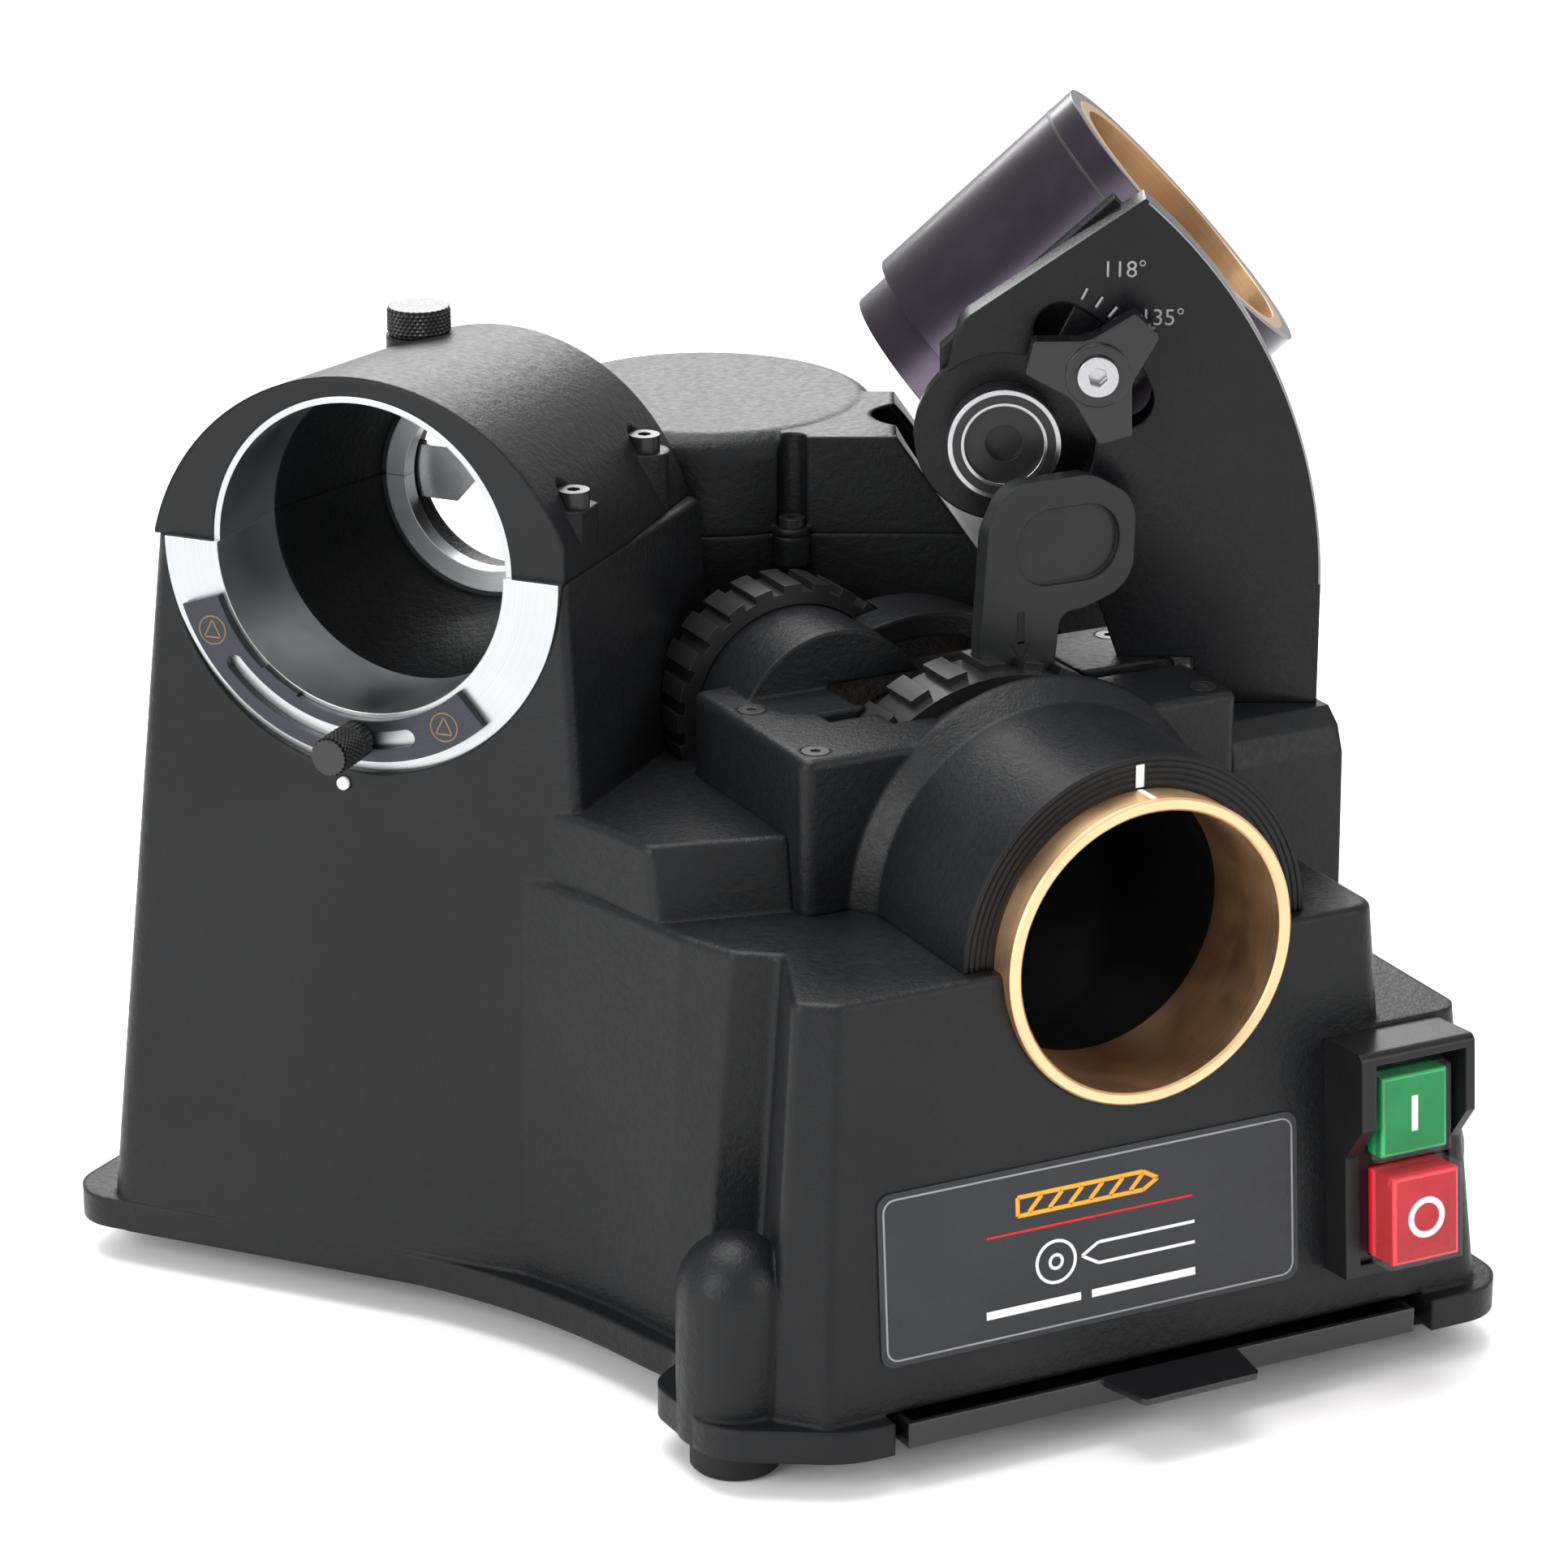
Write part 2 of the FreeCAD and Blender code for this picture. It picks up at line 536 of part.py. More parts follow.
def lever():
    """Flat finger lever with an oval thumb dish."""
    corners = [(-1.5, 38.2, 0.5), (-1.5, 54.0, 3.0), (0.2, 80.0, 8.0), (5.5, 91.5, 9.0), (29.0, 91.5, 12.0),
               (41.5, 84.0, 10.0), (41.0, 62.0, 10.0), (27.5, 57.6, 6.0), (20.5, 57.0, 4.0),
               (18.5, 38.2, 0.5)]
    blade = slab(corners, 0.0, LEVER_Y[1] - LEVER_Y[0])
    blade = stand(blade, V(0, LEVER_Y[1], 0), 0.0)
    dish = stand(slab(rectangle(8.0, 37.0, 64.5, 84.0, 9.5), 0.0, 2.0), V(0, LEVER_Y[0] + 1.6, 0), 0.0)
    return blade.cut(dish).cut(cylinder(SLEEVE_R + 0.3, 30.0, V(0, LEVER_Y[0] - 5, 0), V(0, 1, 0)))


def adjuster_ring():
    """Castellated hand ring that runs on the boss behind the port."""
    ahead = V(0, 1, 0)
    x, _, z = BOSS_AXIS
    base = V(x, ADJUSTER_Y[0], z)
    width = ADJUSTER_Y[1] - ADJUSTER_Y[0]
    ring = tube(ADJUSTER_R - 2.0, 26.8, width, base, ahead)
    blocks = []
    for i in range(24):
        middle = i * 15.0
        start, end = middle - 4.4, middle + 4.4
        blocks.append(sector(ADJUSTER_R - 3.0, ADJUSTER_R, start, end, ADJUSTER_Y[0], width, x, z))
    return ring.fuse(blocks)


def block_screws():
    """Four socket screws that hold the port block down on the casting."""
    screws = []
    for x, y in ((-56.0, 64.0), (51.0, 64.0), (-56.0, 98.0), (51.0, 110.0)):
        head = cylinder(3.6, 3.0, V(x, y, BLOCK_TOP - 3.2))
        head = head.cut(hexagon(2.4, 1.8, V(x, y, BLOCK_TOP - 1.9)))
        screws.append(fuse([head, cylinder(2.0, BLOCK_TOP + 6.0, V(x, y, -8.0))]))
    return Part.makeCompound(screws)


def block_screw_seats():
    seats = []
    for x, y in ((-56.0, 64.0), (51.0, 64.0), (-56.0, 98.0), (51.0, 110.0)):
        seats.append(cylinder(3.6, 6.0, V(x, y, BLOCK_TOP - 3.2)))
        seats.append(cylinder(2.0, BLOCK_TOP + 6.0, V(x, y, -8.0)))
    return seats


def hexagon(across, depth, base):
    """A hexagon socket, sized across its flats."""
    radius = across / math.sqrt(3.0)
    ring = [V(base.x + radius * math.cos(math.radians(60.0 * i)),
              base.y + radius * math.sin(math.radians(60.0 * i)), base.z) for i in range(6)]
    return Part.Face(Part.makePolygon(ring + ring[:1])).extrude(V(0, 0, depth))


# ---------------------------------------------------------------- setting port on the tower
def lower_half():
    return box(-90.0, 90.0, -30.0, 120.0, -90.0, 0.0)


def upper_half():
    return box(-90.0, 90.0, -30.0, 120.0, 0.0, 90.0)


def cap_section(radius, y):
    """Closed arc-and-chord wire of the cap at depth y; its centre lies below the split plane."""
    drop = 13.6
    half = math.sqrt(radius * radius - drop * drop)
    arc = Part.Arc(V(-half, y, 0), V(0, y, radius - drop), V(half, y, 0)).toShape()
    return Part.Wire([arc, Part.makeLine(V(half, y, 0), V(-half, y, 0))])


CAP_SCREWS = ((50.0, 15.0, 15.0), (-50.5, 24.0, 15.0), (45.5, 66.0, 15.0), (-44.5, 66.0, 15.0))
THUMB = (-16.5, 66.0)


def cap_screw_shanks():
    return [in_tower(cylinder(1.8, 22.0 + rise, V(x, y, -22.0))) for x, y, rise in CAP_SCREWS]


def alignment_cap():
    shell = Part.makeLoft([cap_section(58.8, 0.0), cap_section(52.6, TOWER_DEPTH)], True, True)
    bosses = [cylinder(6.2, rise, V(x, y, 0)) for x, y, rise in CAP_SCREWS]
    bosses.append(cylinder(8.4, 12.0, V(*THUMB, 26.6)))
    shell = fuse([shell] + bosses)
    trim = box(-57.0, 54.3, -0.1, TOWER_DEPTH, -1.0, 60.0)
    shell = shell.common(trim)
    seats = [cylinder(1.8, 40.0, V(x, y, -1.0)) for x, y, rise in CAP_SCREWS]
    seats += [cylinder(4.3, 40.0, V(x, y, rise)) for x, y, rise in CAP_SCREWS]
    seats.append(cylinder(THUMB_STEM_R + RUN_GAP, 30.0, V(*THUMB, 20.0)))
    seats.append(cylinder(8.3, 20.0, V(*THUMB, 38.6)))
    return in_tower(shell.cut(tower_hollows() + seats))


def cap_screws():
    screws = []
    for x, y, rise in CAP_SCREWS:
        head = cylinder(3.9, 4.2, V(x, y, rise))
        head = head.cut(hexagon(3.0, 2.2, V(x, y, rise + 2.1)))
        screws.append(in_tower(fuse([head, cylinder(1.8, 22.0 + rise, V(x, y, -22.0))])))
    return Part.makeCompound(screws)


def knurled(radius, length, base, axis, count):
    """A thumb knob with straight flutes cut round it."""
    knob = cylinder(radius, length, base, axis)
    flutes = []
    for i in range(count):
        turn = FreeCAD.Rotation(axis, i * 360.0 / count)
        side = V(1, 0, 0) if abs(axis.z) > 0.5 else V(0, 0, 1)
        spot = base + turn.multVec(side) * (radius + 0.25)
        flutes.append(cylinder(0.6, length, spot, axis))
    return knob.cut(flutes)


def cap_thumb_screw():
    x, y = THUMB
    head = knurled(7.8, 7.0, V(x, y, 38.9), V(0, 0, 1), 30)
    stem = cylinder(THUMB_STEM_R, 10.0, V(x, y, 30.0))
    return in_tower(fuse([head, stem]))


def lower_liner():
    sleeve = cylinder(LINER_R, LINER_LENGTH, V(0, 0, 0), V(0, 1, 0))
    flange = cylinder(FLANGE_R, 4.0, V(0, FLANGE_BACK - 4.0, 0), V(0, 1, 0))
    half = fuse([sleeve, flange]).cut(cylinder(ALIGN_R, 40.0, V(0, -5.0, 0), V(0, 1, 0)))
    half = half.common(lower_half())
    stem = cylinder(KNOB_STEM_R + RUN_GAP, 10.0, V(*KNOB_SPOT), V(0, 1, 0))
    return in_tower(half.cut(stem))


def upper_liner():
    return in_tower(tube(LINER_R, ALIGN_R, LINER_LENGTH, V(0, 0, 0), V(0, 1, 0)).common(upper_half()))


def inner_ring(half):
    ring = tube(SMALL_RING_R, 22.5, 5.0, V(0, SMALL_RING_Y, 0), V(0, 1, 0))
    return in_tower(ring.common(half))


def jaw(side):
    """One of the two pawls that close on the drill's flutes; side is -1 left, +1 right."""
    corners = [(5.0, 0.0), (11.0, JAW_HALF), (33.0, JAW_HALF), (33.0, -JAW_HALF), (11.0, -JAW_HALF)]
    return in_tower(facing([(side * x, z) for x, z in corners], JAW_Y[0], JAW_Y[1] - JAW_Y[0]))


def pointer_plate():
    front = FLANGE_BACK - 4.0 - 0.3 - 2.0
    plate = sector(40.0, 50.5, 198.8, 312.3, front, 2.0)
    step = sector(39.2, 41.0, 229.0, 245.0, front, 2.0)
    slot = arc_slot(45.0, 2.2, 221.5, 286.9, front - 1.0, 4.0)
    return in_tower(plate.fuse(step).cut(slot))


def pointer_knob():
    x, y, z = KNOB_SPOT
    head = knurled(4.7, 15.0, V(x, -19.1, z), V(0, 1, 0), 24)
    stem = cylinder(KNOB_STEM_R, 6.0, V(x, -4.2, z), V(0, 1, 0))
    return in_tower(fuse([head, stem]))


def index_dot():
    return in_tower(index_mark())


# ---------------------------------------------------------------- wheels, guard and motor
def wedge():
    """Block on the guard's right whose sloping face looks along the splitting barrel."""
    profile = [(20.0, DECK_Z), (WEDGE_FOOT_R + 4.0, DECK_Z), (WEDGE_FOOT_R + 4.0, 46.5),
               (WEDGE_TOP_R, GUARD_TOP - 0.5), (20.0, GUARD_TOP - 0.5)]
    solid = facing(profile, WEDGE_P[0], WEDGE_P[1] - WEDGE_P[0])
    return at_guard(solid)


def at_guard(shape):
    """Local X points away from the spindle towards the splitting barrel."""
    return turned(shape, PLATE_TURN, V(SPINDLE[0], SPINDLE[1], 0.0))


def split_path():
    return on_head(cylinder(15.0, 140.0, V(-110.0, BARREL_DEPTH, 0), V(1, 0, 0)))


def guard_solid():
    x, y = SPINDLE
    drum = cylinder(GUARD_R, GUARD_TOP - DECK_Z, V(x, y, DECK_Z))
    drum = drum.makeFillet(7.0, [e for e in drum.Edges if abs(e.BoundBox.ZMin - GUARD_TOP) < 0.01])
    lugs = [cylinder(5.0, 10.0, V(lx, ly, GUARD_SEAM - 8.0)) for lx, ly in guard_lugs()]
    solid = fuse([drum, wedge()] + lugs)
    hollow = cylinder(GUARD_BORE, GUARD_TOP - 4.0 - DECK_Z + 1.0, V(x, y, DECK_Z - 1.0))
    screws = [cylinder(1.6, 20.0, V(lx, ly, GUARD_SEAM - 7.0)) for lx, ly in guard_lugs()]
    return solid.cut([hollow, split_path(), window_sheet()] + screws)


def guard_lugs():
    x, y = SPINDLE
    return [(x + 47.5 * math.cos(math.radians(a)), y + 47.5 * math.sin(math.radians(a)))
            for a in (-88.0, 140.0, 35.0)]


def guard_base():
    return guard_solid().common(box(-120, 120, 100, 300, DECK_Z, GUARD_SEAM)).cut(rear_block())


def guard_cover():
    seats = [cylinder(3.8, 30.0, V(lx, ly, GUARD_SEAM + 2.0)) for lx, ly in guard_lugs()]
    return guard_solid().common(box(-120, 120, 100, 300, GUARD_SEAM, 120)).cut(seats)


def guard_screws():
    screws = []
    for x, y in guard_lugs():
        head = cylinder(3.4, 2.4, V(x, y, GUARD_SEAM + 2.0))
        head = head.cut(hexagon(2.5, 1.5, V(x, y, GUARD_SEAM + 3.0)))
        screws.append(fuse([head, cylinder(1.6, 9.0, V(x, y, GUARD_SEAM - 7.0))]))
    return Part.makeCompound(screws)


def window_sheet():
    """The steel strip's pocket and body, lying in the wedge's sloping face."""
    dr = WEDGE_FOOT_R + 4.0 - WEDGE_TOP_R
    dz = GUARD_TOP - 0.5 - 46.5
    length = math.hypot(dr, dz)
    nx, nz = dz / length, dr / length
    face = [(WEDGE_TOP_R, GUARD_TOP - 0.5), (WEDGE_FOOT_R + 4.0, 46.5)]
    face += [(r - nx * 1.2, z - nz * 1.2) for r, z in reversed(face)]
    return at_guard(facing(face, WEDGE_P[0] + 1.5, WEDGE_P[1] - WEDGE_P[0] - 3.0))


def guard_window():
    return window_sheet().cut([split_path(), rear_block()])


def motor_body():
    x, y = SPINDLE
    can = cylinder(MOTOR_R, MOTOR_TOP - MOTOR_BOTTOM, V(x, y, MOTOR_BOTTOM))
    bore = cylinder(BEARING_R, 200.0, V(x, y, -150.0))
    ribs = []
    for i in range(16):
        a = math.radians(i * 22.5)
        ribs.append(cylinder(1.6, 40.0, V(x + MOTOR_R * math.cos(a), y + MOTOR_R * math.sin(a), -92.0)))
    return can.cut([bore] + ribs)


def motor_bearings():
    x, y = SPINDLE
    rings = [tube(BEARING_R, SHAFT_R + RUN_GAP, 9.0, V(x, y, z)) for z in (MOTOR_TOP - 9.0, MOTOR_BOTTOM)]
    return Part.makeCompound(rings)


def motor_shaft():
    x, y = SPINDLE
    return cylinder(SHAFT_R, 189.0, V(x, y, -107.0))


def wheel(z_range, rim):
    """A straight grinding wheel with softened corners."""
    x, y = SPINDLE
    disc = tube(WHEEL_R, SHAFT_R, z_range[1] - z_range[0], V(x, y, z_range[0]))
    edges = [e for e in disc.Edges if e.BoundBox.XLength > 2 * WHEEL_R - 1.0 and e.BoundBox.ZLength < 0.01]
    return disc.makeChamfer(rim, edges)


def wheel_spacer():
    x, y = SPINDLE
    return tube(10.0, SHAFT_R, SPLIT_Z[0] - SHARPEN_Z[1], V(x, y, SHARPEN_Z[1]))


def wheel_nut():
    x, y = SPINDLE
    nut = hexagon(18.0, 5.5, V(x, y, SPLIT_Z[1]))
    return nut.cut(cylinder(SHAFT_R, 10.0, V(x, y, SPLIT_Z[1] - 1.0)))


def cooling_fan():
    x, y = SPINDLE
    hub = cylinder(11.0, 7.0, V(x, y, -106.5))
    blades = []
    for i in range(9):
        blade = box(9.0, 31.0, -0.9, 0.9, -106.5, -99.5)
        blade.rotate(V(0, 0, -103.0), V(1, 0, 0), 38.0)
        blade.rotate(V(0, 0, 0), V(0, 0, 1), i * 40.0)
        blade.translate(V(x, y, 0.0))
        blades.append(blade)
    band = box(x - 40, x + 40, y - 40, y + 40, -106.5, -99.5)
    return hub.fuse(blades).common(band).cut(cylinder(SHAFT_R, 20.0, V(x, y, -110.0)))


# ---------------------------------------------------------------- switch
def switch_shroud():
    side = [(0.4, -31.0), (-17.0, -31.0), (-17.0, -50.0), (-9.5, -59.0), (-9.5, -90.0), (0.4, -90.0)]
    wire = Part.makePolygon([V(49.0, y, z) for y, z in side + side[:1]])
    hood = Part.Face(wire).extrude(V(32.0, 0, 0))
    uprights = [e for e in hood.Edges if e.BoundBox.YMax < -9.0 and e.BoundBox.XLength > 30.0
                and e.BoundBox.ZMax > -32.0]
    hood = hood.makeFillet(2.0, uprights)
    hood = hood.cut(box(53.0, 78.5, -30.0, -1.0, -87.0, -34.0))
    return on_front(hood).cut(housing_outside())


def switch_body():
    body = box(53.0, 78.5, -8.0, -1.0, -87.0, -34.0)
    pockets = [box(56.2, 75.3, -20.0, -1.2, -59.3, -38.7), box(56.2, 75.3, -20.0, -1.2, -85.3, -62.7)]
    return on_front(body.cut(pockets))


def button(z_low, z_high, front):
    cap = box(56.5, 75.0, front, -4.0, z_low, z_high)
    edges = [e for e in cap.Edges if e.BoundBox.YMax < front + 0.01]
    return on_front(cap.makeFillet(0.8, edges))


def button_cover(z_low, z_high, front):
    """Clear hood over a button."""
    shell = box(55.5, 76.0, front - 0.9, -11.0, z_low - 1.0, z_high + 1.0)
    shell = shell.makeFillet(1.0, [e for e in shell.Edges if e.BoundBox.YMax < front - 0.8])
    return on_front(shell.cut(box(56.5, 75.0, front, 0.0, z_low, z_high)))


# ---------------------------------------------------------------- splitting head
def quadrant_plate():
    pivot = V(PIVOT_S, 0, PIVOT_Z - PLATE_FOOT.z)
    corners = [(5.0, 0.0), (5.0, 163.3), (-90.0, 98.0), (-93.0, 84.0), (PIVOT_S, pivot.z), (-64.0, 52.0),
               (-50.0, 12.0), (-31.0, 12.0), (-31.0, 0.0)]
    blank = facing(corners, 0.0, PLATE_THICK)
    sweep = cylinder(129.5, PLATE_THICK, V(-129.5, 0, 30.0), V(0, 1, 0))
    blank = blank.common(sweep.fuse(box(-60.0, 0.0, 0.0, PLATE_THICK, 0.0, 30.0)))
    corner = [e for e in blank.Edges if abs(e.BoundBox.XMax + 90.0) < 0.01 and e.BoundBox.YLength > 9.0]
    blank = blank.makeFillet(7.0, corner)
    blank = blank.fuse(cylinder(22.0, PLATE_THICK, pivot, V(0, 1, 0)))
    foot = box(-30.0, -12.0, PLATE_THICK, PLATE_THICK + 10.0, 0.0, 6.0)
    blank = fuse([blank, foot])
    cuts = [cylinder(22.5, 8.0, V(pivot.x, -1.0, pivot.z), V(0, 1, 0)),
            cylinder(8.3, 40.0, V(pivot.x, -10.0, pivot.z), V(0, 1, 0)),
            arc_slot(31.5, 7.0, 20.0, 64.0, -1.0, 20.0, pivot.x, pivot.z)]
    for angle in (63.0, 57.3, 51.7, 46.0):
        tick = box(40.5, 43.6, -0.1, 0.3, -0.25, 0.25)
        tick.rotate(V(0, 0, 0), V(0, 1, 0), -angle)
        tick.translate(pivot)
        cuts.append(tick)
    return on_plate(blank.cut(cuts)).cut(plate_screw_shanks())


PLATE_SCREWS = (-26.0, -16.0)


def plate_screw_shanks():
    return [on_plate(cylinder(1.7, 20.0, V(s, PLATE_THICK + 5.5, -14.0))) for s in PLATE_SCREWS]


def quadrant_screws():
    screws = []
    for s in PLATE_SCREWS:
        head = cylinder(3.3, 3.0, V(s, PLATE_THICK + 5.5, 6.0))
        head = head.cut(hexagon(2.5, 1.6, V(s, PLATE_THICK + 5.5, 7.5)))
        screws.append(on_plate(fuse([head, cylinder(1.7, 20.0, V(s, PLATE_THICK + 5.5, -14.0))])))
    return Part.makeCompound(screws)


def tube_bracket():
    back = PLATE_THICK + 0.3
    corners = [(3.0, 26.0), (59.5, 25.0), (59.5, 6.0), (24.0, -14.0), (0.0, -16.4), (-10.0, 12.0)]
    flat = facing(corners, back, 6.0)
    hub = cylinder(16.5, 6.0, V(0, back, 0), V(0, 1, 0))
    saddle = box(2.0, 57.0, back + 5.0, 32.0, -15.0, 22.0)
    whole = fuse([flat, hub, saddle])
    return on_head(whole.cut([cylinder(TUBE_R, 90.0, V(-10.0, BARREL_DEPTH, 0), V(1, 0, 0)),
                              cylinder(8.0, 60.0, V(0, -10, 0), V(0, 1, 0)),
                              cylinder(4.0 + RUN_GAP, 40.0, V(30.0, -10, 0), V(0, 1, 0))]))


def split_tube():
    outer = cylinder(TUBE_R, TUBE_LENGTH, V(-1.0, BARREL_DEPTH, 0), V(1, 0, 0))
    seat = V(TUBE_LENGTH - 1.0 - BUSH_LENGTH, BARREL_DEPTH, 0)
    bores = [cylinder(36.0, 90.0, V(-5.0, BARREL_DEPTH, 0), V(1, 0, 0)),
             cylinder(BUSH_R, 60.0, seat, V(1, 0, 0))]
    return on_head(outer.cut(bores))


def split_bush():
    base = V(TUBE_LENGTH - 1.0 - BUSH_LENGTH, BARREL_DEPTH, 0)
    bush = tube(BUSH_R, CHUCK_R, BUSH_LENGTH, base, V(1, 0, 0))
    return on_head(bush)


def split_nose():
    base = V(-12.0, BARREL_DEPTH, 0)
    return on_head(tube(38.5, 30.0, 11.0, base, V(1, 0, 0)))


def pivot_bolt():
    ahead = V(0, 1, 0)
    head = cylinder(9.8, 3.6, V(0, -0.8, 0), ahead)
    head = head.cut(cylinder(4.6, 2.4, V(0, -1.0, 0), ahead))
    shank = cylinder(8.0, PLATE_THICK + 3.4, V(0, 2.8, 0), ahead)
    return on_head(fuse([head, shank]))


def pivot_ring():
    ahead = V(0, 1, 0)
    ring = tube(13.9, 9.8, 9.2, V(0, -2.6, 0), ahead)
    ring = ring.cut(tube(12.6, 12.1, 0.8, V(0, -2.7, 0), ahead))
    return on_head(ring)


def angle_pointer():
    """Raised pad of the head that shows in the plate's slot, with its tip at the scale."""
    pad = sector(25.2, 37.8, 8.5, 20.5, 3.0, PLATE_THICK + 0.3 - 3.0)
    return on_head(pad)


def clamp_knob():
    ahead = V(0, 1, 0)
    arms = []
    for angle in (3.0, 123.0, 243.0):
        for lean in (-13.5, 13.5):
            a = math.radians(angle + lean)
            arms.append((17.6 * math.cos(a), 17.6 * math.sin(a), 1.0))
        a = math.radians(angle + 60.0)
        arms.append((8.6 * math.cos(a), 8.6 * math.sin(a), 7.0))
    star = stand(slab(arms, 0.0, 7.0), V(30.0, -5.5, 0), 0.0)
    hub = cylinder(7.9, 13.2, V(30.0, -13.6, 0), ahead)
    stem = cylinder(4.0, PLATE_THICK + 6.0, V(30.0, -0.5, 0), ahead)
    return on_head(fuse([star, hub, stem]).cut(cylinder(5.0, 4.2, V(30.0, -13.7, 0), ahead)))


def clamp_screw():
    ahead = V(0, 1, 0)
    head = cylinder(5.0, 5.6, V(30.0, -15.1, 0), ahead)
    socket = stand(hexagon(4.2, 3.2, V(0, 0, 0)), V(30.0, -12.0, 0), 0.0)
    return on_head(head.cut(socket))


# ---------------------------------------------------------------- export
NODES = {
    "lower_housing": lower_housing,
    "bottom_plate": bottom_plate,
    "feet": feet,
    "foot_screws": foot_screws,
    "grit_tray": grit_tray,
    "name_plate": name_plate,
    "power_inlet": power_inlet,
    "port_block": port_block,
    "block_screws": block_screws,
    "sharpening_bush": sharpening_bush,
    "guide_sleeve": guide_sleeve,
    "stop_pin": stop_pin,
    "cam_ring": cam_ring,
    "lever": lever,
    "adjuster_ring": adjuster_ring,
    "alignment_cap": alignment_cap,
    "cap_screws": cap_screws,
    "cap_thumb_screw": cap_thumb_screw,
    "lower_liner": lower_liner,
    "upper_liner": upper_liner,
    "inner_ring_lower": lambda: inner_ring(lower_half()),
    "inner_ring_upper": lambda: inner_ring(upper_half()),
    "left_jaw": lambda: jaw(-1),
    "right_jaw": lambda: jaw(1),
    "pointer_plate": pointer_plate,
    "pointer_knob": pointer_knob,
    "index_dot": index_dot,
    "guard_base": guard_base,
    "guard_cover": guard_cover,
    "guard_screws": guard_screws,
    "guard_window": guard_window,
    "motor_body": motor_body,
    "motor_bearings": motor_bearings,
    "motor_shaft": motor_shaft,
    "sharpening_wheel": lambda: wheel(SHARPEN_Z, 0.8),
    "splitting_wheel": lambda: wheel(SPLIT_Z, 0.8),
    "wheel_spacer": wheel_spacer,
    "wheel_nut": wheel_nut,
    "cooling_fan": cooling_fan,
    "switch_shroud": switch_shroud,
    "switch_body": switch_body,
    "start_button": lambda: button(-59.0, -39.0, -14.0),
    "stop_button": lambda: button(-85.0, -63.0, -19.0),
    "start_cover": lambda: button_cover(-59.0, -39.0, -14.0),
    "stop_cover": lambda: button_cover(-85.0, -63.0, -19.0),
    "quadrant_plate": quadrant_plate,
    "quadrant_screws": quadrant_screws,
    "tube_bracket": tube_bracket,
    "split_tube": split_tube,
    "split_bush": split_bush,
    "split_nose": split_nose,
    "pivot_bolt": pivot_bolt,
    "pivot_ring": pivot_ring,
    "angle_pointer": angle_pointer,
    "clamp_knob": clamp_knob,
    "clamp_screw": clamp_screw,
}


def main():
    os.makedirs("parts", exist_ok=True)
    for name, make in NODES.items():
        shape = make()
        shape.translate(ORIGIN)
        shape.exportStep("parts/" + name + ".step")
        print(name, len(shape.Solids), shape.isValid(), shape.BoundBox)


if __name__ == "__main__":
    main()
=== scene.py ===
"""Looks of a bench-top twist drill sharpener: finishes, small parts, light and camera."""
import logging
import math
from dataclasses import dataclass
from enum import Enum
from functools import cache
from typing import Iterable, Sequence

import bmesh
import bpy
from mathutils import Matrix, Vector


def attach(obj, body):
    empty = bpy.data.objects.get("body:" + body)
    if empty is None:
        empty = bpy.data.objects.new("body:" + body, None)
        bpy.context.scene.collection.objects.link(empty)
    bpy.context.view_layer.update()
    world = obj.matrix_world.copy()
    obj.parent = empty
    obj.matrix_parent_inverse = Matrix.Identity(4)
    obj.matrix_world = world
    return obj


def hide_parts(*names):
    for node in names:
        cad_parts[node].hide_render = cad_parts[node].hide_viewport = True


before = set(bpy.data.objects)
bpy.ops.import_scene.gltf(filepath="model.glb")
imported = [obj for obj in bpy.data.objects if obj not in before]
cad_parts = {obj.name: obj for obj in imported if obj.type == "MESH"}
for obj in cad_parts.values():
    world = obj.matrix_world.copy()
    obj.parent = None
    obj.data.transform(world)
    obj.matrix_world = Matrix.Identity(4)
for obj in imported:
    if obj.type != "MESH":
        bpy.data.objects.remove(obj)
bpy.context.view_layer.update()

log = logging.getLogger("sharpener")
SUNK = 0.0001  # how far paint and print reach into the face under them
Colour = tuple[float, float, float]
Point = tuple[float, float]
Spot = tuple[float, float, float]
Socket = bpy.types.NodeSocket
Shape = bmesh.types.BMesh
Piece = bpy.types.Object


# ------------------------------------------------------------------ places
@dataclass(frozen=True)
class Place:
    """A local frame on the machine: x across, y inwards, z up, all in metres."""

    origin: Vector
    x: Vector
    y: Vector
    z: Vector

    def at(self, x: float, y: float, z: float) -> Vector:
        """A point of this frame, in the machine's frame.

        Args:
            x: distance across.
            y: distance inwards.
            z: distance up.

        Returns:
            The same point in the machine's frame.
        """
        return self.origin + self.x * x + self.y * y + self.z * z

    def moved(self, x: float, y: float, z: float) -> "Place":
        """The same frame started somewhere else.

        Args:
            x: distance across.
            y: distance inwards.
            z: distance up.

        Returns:
            The moved frame.
        """
        return Place(self.at(x, y, z), self.x, self.y, self.z)

    def matrix(self) -> Matrix:
        """The frame as a matrix."""
        turn = Matrix((self.x, self.y, self.z)).transposed().to_4x4()
        return Matrix.Translation(self.origin) @ turn


def turned_place(origin: Vector, degrees: float) -> Place:
    """An upright frame swung to the left about the vertical.

    Args:
        origin: where it starts.
        degrees: how far it is swung.

    Returns:
        The frame.
    """
    a = math.radians(degrees)
    return Place(origin, Vector((math.cos(a), -math.sin(a), 0)), Vector((math.sin(a), math.cos(a), 0)),
                 Vector((0, 0, 1)))


def tilted_place(base: Place, origin: Vector, degrees: float) -> Place:
    """A frame tipped up about its own y.

    Args:
        base: the frame it is tipped from.
        origin: where it starts.
        degrees: how far its x is raised.

    Returns:
        The frame.
    """
    a = math.radians(degrees)
    return Place(origin, base.x * math.cos(a) + base.z * math.sin(a), base.y,
                 base.z * math.cos(a) - base.x * math.sin(a))


